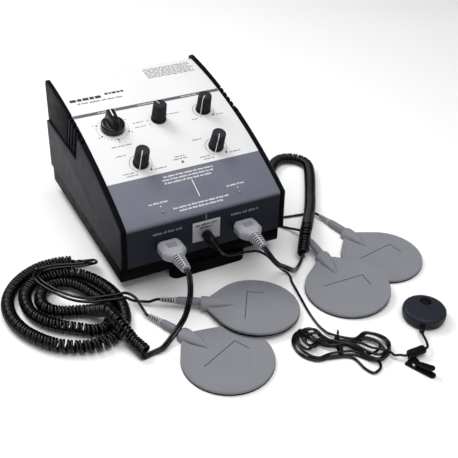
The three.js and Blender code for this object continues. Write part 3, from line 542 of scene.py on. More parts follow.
def twin_lead(name, straight, curl, joins_below, material, replaced):
    """Flat twin lead: a plain run from the plug, then the same lead wound into a curl."""
    if joins_below:
        guide = through(curl, CURL_STEP)
        normal, ts = carried(guide, Vector((0, 0, -1)))
        meet = guide[0] + normal[0] * CURL_COIL_R + Vector((0, 0, CURL_LIFT))
        points, sideways = run_below(straight, meet, ts[0].cross(normal[0]), ts[0])
        start = 0.0
    else:
        guide = through(straight + curl, CURL_STEP)
        normal, ts = carried(guide, Vector((1, 0, 0)))
        points, sideways = [], []
        start = length_of(through(straight + curl[:1], 1.0)) + 1.0
    end = length_of(guide) - 1.0
    travelled = angle = 0.0
    for i, g in enumerate(guide):
        if i:
            gap = (g - guide[i - 1]).length
            travelled += gap
            if travelled > start:
                loose = smooth((LOOSE_Y - g.y) / 12) * smooth((travelled - LOOSE_FROM) / 20)
                angle += 2 * math.pi * gap / (CURL_PITCH + loose)
        into = smooth((end - travelled) / 6.0)
        if not joins_below:
            into *= smooth((travelled - start) / 7.0)
            if travelled < start and i % 3:
                continue
        # a slow wander of the radius, and a slight flare at the first turn
        wobble = 1 + 0.03 * math.sin(travelled / 37.0) + 0.02 * math.sin(travelled / 11.3)
        wobble += 0.09 * math.exp(-((travelled - start - 4) / 6.0) ** 2)
        n, b = normal[i], ts[i].cross(normal[i])
        offset = (n * math.cos(angle) + b * math.sin(angle)) * (CURL_COIL_R * into * wobble)
        points.append(g + offset + Vector((0, 0, CURL_LIFT * into)))
        sideways.append(n * (1 - into) + ts[i] * into)
    lay_cord(name, points, twin_section(), sideways, material, 60, replaced)


def yoke_piece(name, curl, tails, material):
    """Moulded junction where the twin lead divides into its two single leads."""
    end, before = Vector(curl[-1]), Vector(curl[-2])
    onward = [(Vector(t[0]) + Vector(t[1])) / 2 for t in tails]
    middle = (onward[0] + onward[1]) / 2
    first = (Vector(tails[0][0]) + Vector(tails[1][0])) / 2
    axis = (end - before).normalized()
    across = Vector(tails[0][0]) - Vector(tails[1][0])
    guide = through([end - axis * 3.0, end, first, first.lerp(middle, 1.4)], 1.0)
    rings = []
    for k, (p, t) in enumerate(zip(guide, tangents(guide))):
        f = k / (len(guide) - 1)
        bulge = math.sin(math.pi * min(1.0, f * 1.05)) ** 0.6 if f < 0.95 else 0.4
        w, h = 2.4 + 1.9 * smooth(f * 1.6) * bulge, 2.0 + 0.8 * bulge
        side = (across - t * across.dot(t)).normalized()
        lift = t.cross(side)
        rings.append([p + side * (w * squared(math.cos(a), 0.72))
                      + lift * (h * squared(math.sin(a), 0.72)) for a in full_turn(24)])
    return Solid().skin(rings).piece(name, material, "cord_black", angle=40)


def round_cord(name, points, diameter, material, replaced, sides=12):
    sideways, _ = carried(points, Vector((0.3, 0.2, 1)))
    lay_cord(name, points, circle(diameter / 2, sides), sideways, material, 70,
             replaced)


# The tied hank of the switch lead: uneven loops gathered at a waist, fanned out to the right.
HANK_WAIST = Vector((72.6, -176.5, 0))
HANK_U = Vector((0.937, -0.349, 0))
HANK_V = Vector((0.349, 0.937, 0))
# reach, half width and middle of a loop's right and left halves, then whether it crosses
# itself at the waist, its half width and middle there, and its height
HANK_LOOPS = (
    (57, 24, -2, 47, 26, 9, 0, 10, -2, 1.6),
    (49, 18, -10, 41, 21, 11, 1, 6, -1, 4.4),
    (40, 13, -30, 46, 24, 5, 0, 13, -2, 1.8),
    (56, 19, -4, 37, 16, 11, 1, 4, 0, 7.1),
    (46, 14, -3, 43, 27, 9, 0, 8, -2, 4.6),
    (53, 23, -7, 34, 14, 6, 1, 9, -1, 7.3),
    (57, 14, -22, 40, 20, 6, 0, 6, 1, 5.0),
)
HANK_STEPS = 24


def hank_points():
    points = []
    last = len(HANK_LOOPS) - 1
    for i in range(int(HANK_STEPS * (last + 0.217)) + 1):
        f = i / HANK_STEPS
        k = int(f)
        ease = smooth((f - k - 0.82) / 0.18)
        row = [a + (b - a) * ease for a, b in zip(HANK_LOOPS[k], HANK_LOOPS[min(last, k + 1)])]
        crossed, waist, waist_at, height = row[6:]
        t = math.radians(80) - 2 * math.pi * f
        c, s = math.cos(t), math.sin(t)
        reach, width, middle = row[:3] if c > 0 else row[3:6]
        lobe = smooth(abs(c) / 0.52)
        side = 1 - crossed + crossed * math.tanh(c / 0.25)
        u = 4 + squared(c, 0.62) * (reach - math.copysign(4, c))
        v = waist_at + (middle - waist_at) * lobe
        v += side * s * (waist + (width * 1.1 - waist) * lobe)
        points.append(HANK_WAIST + HANK_U * u + HANK_V * v + Vector((0, 0, height)))
    return points


def switch_route():
    hank = hank_points()
    out = [Vector((123.6, -219.6, 6.4)), Vector((127.2, -223.0, 7.0)),
           Vector((133, -223.8, 7.2)), Vector((143, -223.9, 7.2))]
    points = [Vector(p) for p in SWITCH_LEAD] + hank + out + [Vector(p) for p in SWITCH_TAIL]
    return through(points, SWITCH_STEP)


def hank_tie(material):
    """Wire tie round the waist of the hank, with its twisted ends standing up."""
    solid = Solid()
    ring = []
    for t in full_turn(40):
        c, s = math.cos(t), math.sin(t)
        v = 13.6 * squared(c, 0.75)
        z = 3.5 + 3.5 * squared(s, 0.6)
        ring.append(HANK_WAIST + HANK_U * (1.5 + 0.8 * s) + HANK_V * v
                    + Vector((0, 0, max(0.5, z))))
    centre = HANK_WAIST + Vector((0, 0, 3.5))
    rings = []
    for p in ring:
        out = (p - centre).normalized()
        rings.append([p + HANK_U * a + out * b
                      for a, b in ((-1.6, -0.3), (0, -0.45), (1.6, -0.3), (1.6, 0.35), (0, 0.7),
                                   (-1.6, 0.35))])
    solid.skin(rings, loop=True)
    root = HANK_WAIST + HANK_U * 1.5 + HANK_V * 9 + Vector((0, 0, 6.6))
    for sign in (-1, 1):
        spine = []
        for k in range(14):
            f = k / 13
            twist = sign * 1.1 * math.cos(f * 9) * (1 - f * 0.3)
            bend = sign * 1.1 * math.sin(f * 9) * (1 - f * 0.3)
            spine.append(root + HANK_U * (twist + 1.5 * f) + HANK_V * (f * 6 + bend)
                         + Vector((0, 0, 5.5 * f)))
        side, _ = carried(spine, Vector((1, 0, 0)))
        solid.skin(swept(spine, circle(0.75, 8), side))
    return solid.piece("hank_tie", material, "cord_black", angle=50)


# ---- the arched panel ---------------------------------------------------------------
CHORD = math.hypot(PANEL_DEPTH, PANEL_TOP - FOLD_Z)
DROP = math.sqrt(PANEL_R ** 2 - (CHORD / 2) ** 2)       # from the chord to the arc's centre
ARC_Y = PANEL_DEPTH / 2 + (PANEL_TOP - FOLD_Z) / CHORD * DROP
ARC_Z = (FOLD_Z + PANEL_TOP) / 2 - PANEL_DEPTH / CHORD * DROP
ARC_START = math.asin(-ARC_Y / PANEL_R)
PANEL_LENGTH = 2 * math.asin(CHORD / 2 / PANEL_R) * PANEL_R


def on_panel(x, up, lift=0.0):
    t = ARC_START + up / PANEL_R
    r = PANEL_R + lift
    return Vector((x, ARC_Y + r * math.sin(t), ARC_Z + r * math.cos(t)))


def panel_matrix(x, up):
    """Maps a control's own mm (X right, Y up the panel, Z out of it) to row metres."""
    slope = -(ARC_START + up / PANEL_R)
    return ROW @ Matrix.Translation(on_panel(x, up)) @ Matrix.Rotation(slope, 4, "X")


class Print:
    """Marks printed on a surface: surface(a, b, lift) gives a 3-D point in mm."""

    THICK = 0.05

    def __init__(self, surface):
        self.surface, self.solid = surface, Solid()

    def shape(self, outline):
        self.solid.sheet(outline, lambda a, b: self.surface(a, b, 0.0),
                         lambda a, b: self.surface(a, b, self.THICK))
        return self

    def bar(self, a0, a1, b0, b1):
        """A rectangle, in short lengths so that it follows a curved surface."""
        count = max(1, round((b1 - b0) / 3.0))
        for k in range(count):
            low, high = b0 + (b1 - b0) * k / count, b0 + (b1 - b0) * (k + 1) / count
            self.shape([(a0, low), (a1, low), (a1, high), (a0, high)])
        return self

    def dot(self, a, b, r):
        return self.shape([(a + x, b + y) for x, y in circle(r, 14)])

    def arc(self, a, b, r, width, start, stop, sides):
        """Ring segment; angles are clockwise degrees from straight up."""
        for k in range(sides):
            t0 = math.radians(start + (stop - start) * k / sides)
            t1 = math.radians(start + (stop - start) * (k + 1) / sides)
            self.shape([(a + q * math.sin(t), b + q * math.cos(t))
                        for q, t in ((r, t0), (r, t1), (r + width, t1), (r + width, t0))])
        return self

    def tick(self, a, b, r0, r1, width, degrees):
        t = math.radians(degrees)
        s, c = math.sin(t), math.cos(t)
        h = width / 2
        return self.shape([(a + r * s + w * c, b + r * c - w * s)
                           for r, w in ((r0, -h), (r0, h), (r1, h), (r1, -h))])

    def words(self, a0, a1, b, height, pattern=0):
        """A row of plain blocks where a line of small print would be."""
        lengths = (5, 3, 6, 2, 4, 7, 3, 5)
        a, word = a0, pattern
        height *= 1.12
        glyph = height * 0.62
        while a < a1 - glyph:
            for k in range(lengths[word % 8]):
                if a > a1 - glyph:
                    break
                tall = height * (1.0 if (k * 7 + word * 3) % 4 == 0 else 0.76)
                self.bar(a, a + glyph * 0.74, b, b + tall)
                a += glyph
            a += glyph * 0.8
            word += 1
        return self


def panel_surface(a, b, lift):
    return on_panel(a, b, FILM_TOP * smooth((b - 1.0) / 14.0) + 0.02 + lift)


def fascia_surface(a, b, lift):
    return Vector((a, -0.02 - lift, b))


def plate_surface(a, b, lift):
    return Vector((a, -1.31 - lift, b))


def panel_marks(dark, grey, white):
    ink = Print(panel_surface)
    # stripe across the panel, with light captions over each control
    ink_grey = Print(panel_surface)
    ink_grey.bar(-96.3, 96.3, STRIPE_UP - 2.9, STRIPE_UP + 2.9)
    over = Print(lambda a, b, lift: panel_surface(a, b, lift + 0.06))
    over.words(-66, -42, STRIPE_UP - 0.8, 1.6, 1)
    over.words(-14, 12, STRIPE_UP - 0.8, 1.6, 4)
    over.words(44, 66, STRIPE_UP - 0.8, 1.6, 2)
    # title block
    for a0, a1 in ((-90, -82), (-80.6, -75), (-73.6, -66), (-64.6, -59), (-57.6, -50)):
        ink.bar(a0, a1, 206.4, 211.8)
    for a0, a1 in ((-44, -39.5), (-38.3, -35.6), (-34.4, -29), (-27.8, -24), (-22.8, -19)):
        ink.bar(a0, a1, 210.4, 214.4)
    ink_grey.words(-83, -23, 199.6, 2.9, 3)
    # notice block at the rear right
    for k in range(8):
        ink_grey.words(22 + (k % 2), 90 - 2 * (k % 3), 228.3 + 3.2 * k, 2.0, k)
    # timer scale
    for k in range(1, 6):
        t = math.radians(60 * k)
        ink.dot(TIMER_X + 19.6 * math.sin(t), ROW_2 + 19.6 * math.cos(t), 1.25)
        ink_grey.words(TIMER_X + 23.6 * math.sin(t) - 1.4, TIMER_X + 23.6 * math.sin(t) + 2.0,
                       ROW_2 + 23.6 * math.cos(t) - 0.8, 1.7, k)
    for k in range(5, 31):
        if k % 5:
            ink.tick(TIMER_X, ROW_2, 18.7, 20.5, 0.62, 12 * k)
    ink_grey.words(TIMER_X - 13, TIMER_X + 14, ROW_2 - 31.5, 1.7, 2)
    # selector captions
    for side, a0, a1, up, pattern in ((-1, -33, -19, 137.5, 2), (-1, -33, -19, 145.5, 1),
                                      (1, 16, 31, 149.0, 7)):
        ink_grey.words(MODE_X + a0, MODE_X + a1, up, 1.6, pattern)
        ink.dot(MODE_X + side * 13.6, up + 0.8, 0.7)
    # rate scale, then the two intensity scales
    for x, up in ((RATE_X, ROW_2), (-CHANNEL_X, ROW_1), (CHANNEL_X, ROW_1)):
        ink_grey.arc(x, up, 13.0, 0.5, 215, 500, 48)
        ink.dot(x + 13.6 * math.sin(math.radians(217)), up + 13.6 * math.cos(math.radians(217)),
                0.75)
        ink.dot(x + 14.4 * math.sin(math.radians(143)), up + 14.4 * math.cos(math.radians(143)),
                1.35)
    ink_grey.words(RATE_X - 21, RATE_X - 12.5, ROW_2 - 13.4, 1.6, 1)
    ink_grey.words(RATE_X + 12.2, RATE_X + 22, ROW_2 - 12.4, 1.6, 4)
    for x in (-CHANNEL_X, CHANNEL_X):
        ink_grey.words(x - 26, x - 11.5, ROW_1 - 11.6, 1.6, 3)
        ink_grey.words(x - 22.5, x - 7.5, ROW_1 - 15.4, 1.6, 6)
        ink_grey.words(x + 12.5, x + 29, ROW_1 - 13.4, 1.7, 1)
        ink_grey.words(x - 24, x - 10.5, ROW_1 + 16.0, 1.6, 5)
    # pulse lamp caption
    ink_grey.words(-6.5, 6.5, 79.2, 1.6, 2)
    ink_grey.words(-10, 10, 75.6, 1.6, 5)
    # white print on the front band
    light = Print(panel_surface)
    for k, (a0, a1) in enumerate(((-31, 33), (-34, 31), (-33, 28))):
        light.words(a0, a1, 54.6 - 4.5 * k, 2.1, k + 1)
    for k, (a0, a1) in enumerate(((-36, 35), (-30, 26))):
        light.words(a0, a1, 11.6 - 4.2 * k, 2.0, k + 4)
    light.bar(-0.55, 0.55, 20.0, 44.0)
    for x in (-CHANNEL_X - 0.5, CHANNEL_X):
        light.words(x - 12.5, x + 12.5, 23.2, 1.9, 1)
        light.bar(x - 0.6, x + 0.6, 18.6, 20.4)
    for marks, name, material in ((ink, "black", dark), (ink_grey, "grey", grey),
                                  (over, "captions", white), (light, "white", white)):
        marks.solid.piece("panel_print_" + name, material, "panel_film")


def fascia_marks(dark, pale):
    # the fascia's white print is given grey, painted shade of the front face
    mark = Print(fascia_surface)
    mark.words(-66, -30, 75.2, 2.8, 2)
    mark.words(32, 68, 75.2, 2.8, 5)
    mark.bar(-0.55, 0.55, 79.6, 86.6)
    mark.solid.piece("fascia_print", pale, "cover_paint")
    ink = Print(plate_surface)
    ink.words(-14, 14, 73.0, 2.7, 1)
    ink.words(-8, 8, 68.8, 2.6, 3)
    ink.arc(0, SOCKET_Z, 6.9, 0.5, 0, 360, 32)
    ink.bar(-15.6, 15.6, 54.0, 54.4)
    ink.solid.piece("jack_plate_print", dark, "plate_grey")


# ---- knobs ------------------------------------------------------------------------
def flutes(count, depth, low, high):
    def wave(t, r, h):
        if not low < h < high:
            return r
        groove = 0.5 - 0.5 * math.cos(count * t)
        fade = min(1.0, (h - low) / 0.9, (high - h) / 0.9)
        return r - depth * groove ** 0.7 * fade
    return wave


def pointer_line(spine, widths, deep, thick):
    """A thin line laid over a knob along (radius, height) points, with its foot inside it."""
    rings = []
    for i, ((r, z), wide) in enumerate(zip(spine, widths)):
        a, b = spine[max(0, i - 1)], spine[min(len(spine) - 1, i + 1)]
        d = Vector((b[0] - a[0], b[1] - a[1])).normalized()
        n = Vector((-d.y, d.x)) * thick
        rings.append([(w, r + n.x * k, z + n.y * k)
                      for w, k in ((-wide, deep), (wide, deep), (wide, 1), (-wide, 1))])
    return Solid().skin(rings)


def small_knob(prefix, body, x, up, pointer, black, cap, white):
    matrix = panel_matrix(x, up)
    profile = [(8.6, 1.2), (9.3, 1.2), (9.5, 1.7), (9.5, 3.4), (9.25, 3.9), (9.0, 4.3),
               (8.98, 4.8), (8.94, 5.3), (8.85, 7.5), (8.7, 12), (8.52, 17), (8.36, 21.5),
               (8.28, 23.0), (8.24, 23.6), (8.2, 24.1), (7.9, 24.6), (7.45, 24.8), (7.35, 24.55),
               (7.2, 24.5)]
    knob = Solid().turn(profile, 144, flutes(24, 0.52, 4.2, 23.8))
    knob.piece(prefix + "_grip", black, "knob_plastic", matrix, [prefix + "_knob"], angle=28,
               body=body)
    disc = Solid().turn([(7.3, 24.3), (7.3, 24.78), (7.05, 24.95), (0.8, 24.98), (0.05, 24.9)], 64)
    disc.piece(prefix + "_cap", cap, "knob_plastic", matrix, angle=25, body=body)
    spine = [(1.2, 24.9), (7.0, 24.95), (8.0, 24.72), (8.42, 24.1), (8.9, 12.0), (9.28, 4.2),
             (9.5, 3.6), (9.62, 2.0)]
    line = pointer_line(spine, [0.42] * 3 + [0.5] * 5, -2, 0.14).moved(spin(-pointer))
    line.piece(prefix + "_pointer", white, "knob_plastic", matrix, angle=40, body=body)


def timer_knob(gloss, white, grey):
    matrix = panel_matrix(TIMER_X, ROW_2)
    skirt = Solid().turn([(13.2, 1.2), (14.1, 1.25), (14.45, 1.7), (14.5, 2.6), (14.45, 6.8),
                          (14.3, 8.4), (13.9, 9.4), (13.3, 10.0), (12.4, 10.3), (10.5, 10.4)], 160,
                         flutes(60, 0.22, 1.5, 8.4))
    skirt.piece("timer_skirt", gloss, "knob_plastic", matrix, ["timer_knob"], angle=30,
                body="timer_dial")
    # grip across the skirt: wide at its foot, narrow on top, pinched at the middle
    bar = Solid()
    rings = []
    levels = ((8.0, 1.2, 1.0), (10.4, 1.2, 1.0), (11.4, 1.13, 0.99), (14.0, 1.06, 0.98),
              (17.5, 1.01, 0.96), (19.9, 0.98, 0.95), (20.65, 0.94, 0.94), (21.0, 0.85, 0.91))
    for z, wide, long in levels:
        ring = []
        for t in full_turn(64):
            y = 13.7 * long * squared(math.sin(t), 0.36)
            if y < 0:
                y *= 1 - 0.38 * smooth((z - 9) / 11)
            taper = 0.93 + 0.09 * y / 13.7
            x = 5.6 * wide * taper * squared(math.cos(t), 0.34)
            edge = math.hypot(x, y)
            if edge > 14.0:
                x, y = x * 14.0 / edge, y * 14.0 / edge
            dip = 1.3 * smooth((z - 15) / 5) * math.exp(-((y + 3.5) / 3.4) ** 2)
            ring.append((x, y, z - dip))
        rings.append(ring)
    bar.skin(rings)
    bar.piece("timer_grip", gloss, "knob_plastic", matrix, angle=26, body="timer_dial")
    spine = [(0.5, 21.02), (9.0, 21.04), (11.7, 21.0), (12.6, 20.4), (13.05, 19.2), (13.4, 16.0)]
    line = pointer_line(spine, [0.75] * len(spine), -5, 0.1)
    line.piece("timer_pointer", white, "knob_plastic", matrix, angle=40, body="timer_dial")
    # painted highlights: grey strips along the grip's top edges and its foot stand in for light
    # caught on those edges
    seam = Solid()
    for x in (-4.1, 4.1):
        seam.block(x - 0.16, x + 0.16, -5.5, 12.0, 20.3, 21.1)
    for x in (-7.1, 7.1):
        seam.block(x - 0.3, x + 0.3, -9.5, 9.5, 10.2, 10.8)
    seam.piece("timer_grip_painted_highlights", grey, "knob_plastic", matrix, angle=40, bevel=0.08,
               body="timer_dial")


# ---- plugs ------------------------------------------------------------------------
def octagon(y, half_w, half_h, cut_w, cut_h, soft=0.45):
    """Ring across a plug at depth y, chamfered at its corners."""
    base = [(-half_w + cut_w, half_h), (half_w - cut_w, half_h), (half_w, half_h - cut_h),
            (half_w, -half_h + cut_h), (half_w - cut_w, -half_h), (-half_w + cut_w, -half_h),
            (-half_w, -half_h + cut_h), (-half_w, half_h - cut_h)]
    ring = []
    for i, (a, b) in enumerate(base):
        pa, pb = base[i - 1], base[(i + 1) % 8]
        for q in (pa, pb):
            d = Vector((q[0] - a, q[1] - b))
            cut = min(soft * 1.6, d.length * 0.3)
            d.normalize()
            ring.append((a + d.x * cut, y, b + d.y * cut))
    return ring


def output_plug(name, x, plastic, pale, dark, black):
    matrix = ROW @ shift(x, 0, SOCKET_Z)
    shell = Solid()
    shell.skin([octagon(*ring) for ring in (
        (-0.6, 12.0, 6.6, 2.4, 2.4), (-1.1, 12.5, 7.0, 2.5, 2.5), (-3.6, 14.4, 7.5, 4.4, 3.9),
        (-4.4, 14.7, 7.6, 4.6, 4.0), (-18.6, 14.7, 7.6, 4.6, 4.0), (-19.6, 14.5, 7.55, 4.6, 4.0),
        (-26.2, 8.2, 6.6, 3.0, 2.8), (-27.2, 7.6, 6.3, 2.8, 2.7), (-29.2, 7.3, 6.1, 2.7, 2.6))])
    plug = shell.piece(name + "_shell", plastic, "plug_grey", matrix, [name], angle=24, bevel=0.35)
    # finger grips: a darker inset with cross ribs on the top and bottom faces
    inset, grip = Solid(), Solid()
    for side in (1, -1):
        low, high = sorted((7.2 * side, 7.75 * side))
        inset.block(-5.6, 5.6, -16.4, -7.4, low, high)
        low, high = sorted((7.2 * side, 8.15 * side))
        for k in range(4):
            y = -15.2 + 2.15 * k
            grip.block(-4.6, 4.6, y, y + 0.85, low, high)
    inset.piece(name + "_inset", dark, "plug_grey", matrix, angle=30, bevel=0.3)
    grip.piece(name + "_grip", plastic, "plug_grey", matrix, angle=30, bevel=0.2)
    seam = Solid()
    seam.skin([octagon(-4.7, 14.9, 0.28, 0.1, 0.1, 0.05),
               octagon(-18.4, 14.9, 0.28, 0.1, 0.1, 0.05)])
    seam.piece(name + "_seam", dark, "plug_grey", matrix)
    # strain relief: a core, a rib down the middle and six collars with slots between them
    relief = Solid()
    start, stop = -28.6, -50.0

    def at(y):
        f = (y - start) / (stop - start)
        return 7.2 - 1.9 * f, 6.0 - 1.7 * f
    core = []
    for y in (start, stop + 1.0):
        w, h = at(y)
        core.append(octagon(y, w * 0.86, h * 0.84, 2.0, 1.9, 0.3))
    Solid().skin(core).piece(name + "_core", black, "cord_black", matrix, angle=30)
    rib = []
    for y in (start, stop + 0.8):
        w, h = at(y)
        rib.append([(-1.0, y, h * 0.985), (1.0, y, h * 0.985), (1.0, y, -h * 0.985),
                    (-1.0, y, -h * 0.985)])
    relief.skin(rib)
    pitch = (start - stop) / 6
    for k in range(6):
        y0 = start - pitch * k - pitch * 0.62
        y1 = start - pitch * (k + 1)
        (w0, h0), (w1, h1) = at(y0), at(y1)
        relief.skin([octagon(y0, w0, h0, 2.4, 2.3, 0.3), octagon(y1, w1, h1, 2.2, 2.0, 0.3)])
    relief.piece(name + "_relief", pale, "plug_grey", matrix, angle=28, bevel=0.22)
    return plug


def switch_plug(black):
    matrix = ROW @ shift(0, 0, SOCKET_Z)

    def ribs(t, r, h):
        return r - (0.35 * (0.5 - 0.5 * math.cos(28 * t)) if 6.0 < h < 16.0 else 0.0)
    barrel = Solid().turn([(3.0, -1.0), (5.6, -1.0), (6.0, 1.4), (6.1, 4.6), (5.8, 5.0),
                           (6.0, 5.4), (6.1, 6.6), (6.15, 8.0), (6.15, 14.0), (6.1, 16.0),
                           (5.9, 16.4), (6.0, 19.0), (5.4, 20.9), (4.4, 21.6)], 112, ribs)
    sleeve = [(4.2, 21.2)]
    for k in range(5):
        y = 22.0 + 2.2 * k
        r = 4.1 - 0.36 * k
        sleeve += [(r, y), (r - 0.05, y + 1.0), (r - 0.75, y + 1.25), (r - 0.8, y + 1.95)]
    sleeve += [(2.1, 33.0)]
    barrel.turn(sleeve, 40)
    # turned forms stand on Z; lay this one along -Y
    barrel.moved(spin(90, "X"))
    return barrel.piece("switch_plug_body", black, "knob_plastic", matrix, ["switch_plug"],
                        angle=26)


# ---- electrode pads ---------------------------------------------------------------
PADS = {
    "a": dict(x=22.0, y=-85.0, heading=151.0, on="b"),
    "b": dict(x=-43.0, y=-143.4, heading=116.8, on=None),
    "c": dict(x=211.5, y=-64.2, heading=102.7, on=None),
    "d": dict(x=137.0, y=-99.8, heading=87.3, on="c"),
}
PAD_R, PAD_T = 50.0, 5.0
PAD_FACE = 2.1              # thickness of the black contact layer under a pad
CLEAR = 0.3                 # gap between a leaning pad and the pad under it
TANGENT_AT = math.radians(37)       # where the tangents to the socket leave the round edge
NECK = math.radians(11)             # half angle of the straight edge at the socket


def pad_matrix(key):
    """Maps a pad's own mm (X towards its socket) to row metres, with the tilt of one that leans."""
    pad = PADS[key]
    spot = Vector((pad["x"], pad["y"], 0))
    turn = spin(pad["heading"])
    if not pad["on"]:
        return ROW @ Matrix.Translation(spot) @ turn
    under = PADS[pad["on"]]
    toward = Vector((under["x"] - pad["x"], under["y"] - pad["y"], 0))
    tilt = math.atan((PAD_T + 2 * CLEAR) / toward.length)
    toward.normalize()
    axis = Vector((-toward.y, toward.x, 0))
    lean = Matrix.Rotation(-tilt, 4, axis)
    return (ROW @ Matrix.Translation(spot - toward * PAD_R) @ lean
            @ Matrix.Translation(toward * PAD_R) @ turn)


def pad_edge(t, inset=0.0):
    """Distance of a pad's edge from its centre: a circle with two tangents to the socket."""
    t = abs((t + math.pi) % (2 * math.pi) - math.pi)
    r = PAD_R - inset
    if t >= TANGENT_AT:
        return r
    reach = r / math.cos(TANGENT_AT - max(t, NECK))
    return reach * math.cos(NECK) / math.cos(t) if t < NECK else reach


def pad_disc(profile):
    """The pad's outline repeated at the insets and heights of a profile."""
    return Solid().skin([[(pad_edge(t, inset) * math.cos(t), pad_edge(t, inset) * math.sin(t), z)
                          for t in full_turn(180)] for inset, z in profile])


def pad_piece(key, rubber, dark, carbon):
    matrix = pad_matrix(key)
    backing = pad_disc([
        (49.0, PAD_T - 0.45), (30.0, PAD_T - 0.5), (8.0, PAD_T - 0.5), (2.2, PAD_T - 0.42),
        (1.5, PAD_T - 0.15), (1.0, PAD_T), (0.6, PAD_T - 0.05), (0.2, PAD_T - 0.45),
        (0.0, PAD_T - 1.2), (0.0, PAD_FACE + 0.1), (0.3, PAD_FACE), (25.0, PAD_FACE),
        (49.0, PAD_FACE)])
    pad = backing.piece(f"electrode_{key}", rubber, "pad_rubber", matrix, [f"pad_{key}"], angle=40)
    face = pad_disc([
        (49.0, PAD_FACE - 0.05), (0.4, PAD_FACE - 0.05), (0.0, PAD_FACE - 0.2),
        (-0.15, PAD_FACE - 0.5), (-0.15, 0.6), (0.1, 0.2), (0.8, 0.0), (25.0, 0.0), (49.0, 0.0)])
    face.piece(f"electrode_{key}_face", carbon, "pad_rubber", matrix, angle=40)
    # an L-shaped groove cut into the upper face; its cut faces take a darker lining, painted shade
    # inside the groove
    half = 0.42
    legs = [(12 + half, 25), (12 - half, 25), (10 - half, -26 + half), (-9, -26 + half),
            (-9, -26 - half), (10 + half, -26 - half)]
    groove = Solid().sheet(legs, lambda x, y: (x, y, PAD_T - 1.7),
                           lambda x, y: (x, y, PAD_T + 1.0))
    carve(pad, groove, matrix, dark)
    # socket hump: a long rounded nose that rises towards the rim and stands past it
    hump = Solid()
    stations = [(62.5, 7.2, 9.2), (62.3, 7.9, 9.7), (61.2, 8.5, 9.9), (58, 8.9, 9.9),
                (54, 8.5, 9.8), (50, 8.0, 9.65), (46, 7.4, 9.4), (42, 6.5, 8.9), (38, 5.4, 8.2),
                (34, 4.1, 7.4), (30, 2.8, 6.4), (27, 1.7, 5.6), (25.2, 0.7, 4.9)]
    rings = []
    for d, half, top in stations:
        half, top = half * 1.07, PAD_T + (top - PAD_T) * 1.15
        foot = 0.7 if d > 49 else 3.2
        ring = [(d, half, foot), (d, half + 0.05, foot + 0.6)]
        for k in range(1, 16):
            t = math.pi * k / 16
            ring.append((d, half * math.cos(t) * (1.0 + 0.06 * math.sin(t)),
                         foot + 0.6 + (top - foot - 0.6) * math.sin(t) ** 0.75))
        ring += [(d, -half - 0.05, foot + 0.6), (d, -half, foot)]
        rings.append(ring)
    hump.skin(rings)
    hump.piece(f"electrode_{key}_socket", rubber, "pad_rubber", matrix, angle=50)


CONNECTOR_START, BOOT_START, BOOT_END, LEAD_AXIS_Z = 62.8, 90.4, 109.6, 5.2


def connector_piece(key, grey, pale, black):
    """Pin connector: a smooth tapered body against the pad."""
    start = CONNECTOR_START
    profile = [(3.0, start), (4.1, start + 0.05), (4.45, start + 0.6), (4.5, start + 2.0),
               (4.2, start + 2.5), (4.2, start + 3.2), (4.4, start + 3.7), (4.35, start + 10),
               (4.15, start + 20), (4.0, start + 25.0), (3.7, start + 26.6), (2.6, start + 27.6)]
    solid = Solid().turn([(r * 1.1, x) for r, x in profile], 40, axis="x")
    solid.moved(shift(0, 0, LEAD_AXIS_Z))
    connector = solid.piece(f"lead_connector_{key}", grey, "boot_grey", pad_matrix(key),
                            [f"pin_connector_{key}"], angle=28)
    # slotted boot: collars on two ribs, with the lead showing between them
    boot = Solid()
    count = 6
    pitch = (BOOT_END - BOOT_START) / count
    for k in range(count):
        r = 3.75 - 0.21 * k
        x = BOOT_START + pitch * k
        wide = pitch * (0.42 if k else 0.7)
        boot.turn([(r - 0.3, x - 0.1), (r, x + 0.15), (r - 0.04, x + wide - 0.2),
                   (r - 0.35, x + wide)], 28, axis="x")
    r0, r1 = 3.6, 2.5
    boot.skin([[(x, w, h) for w, h in ((-0.6, r), (0.6, r), (0.6, -r), (-0.6, -r))]
               for x, r in ((BOOT_START - 1.0, r0), (BOOT_END - 1.6, r1))])
    boot.moved(shift(0, 0, LEAD_AXIS_Z))
    boot.piece(f"lead_boot_{key}", pale, "boot_grey", pad_matrix(key), angle=30)
    core = Solid().turn([(1.5, BOOT_START - 0.8), (3.2, BOOT_START - 0.6), (2.1, BOOT_END - 2.2),
                         (1.7, BOOT_END - 1.8)],
                        28, axis="x")
    core.moved(shift(0, 0, LEAD_AXIS_Z))
    core.piece(f"lead_boot_core_{key}", black, "cord_black", pad_matrix(key), angle=30)
    return connector


def into_boot(tail, key):
    """The lead's route carried on inside its boot, to the connector."""
    matrix = ROW.inverted() @ pad_matrix(key)
    inner = [matrix @ Vector((x, 0, LEAD_AXIS_Z)) for x in (BOOT_END - 4.0, BOOT_START - 1.0)]
    return [Vector(p) for p in tail] + inner


# ---- patient switch and clip ------------------------------------------------------
SWITCH_X, SWITCH_Y, SWITCH_HEADING = 189.5, -175.5, 48.0


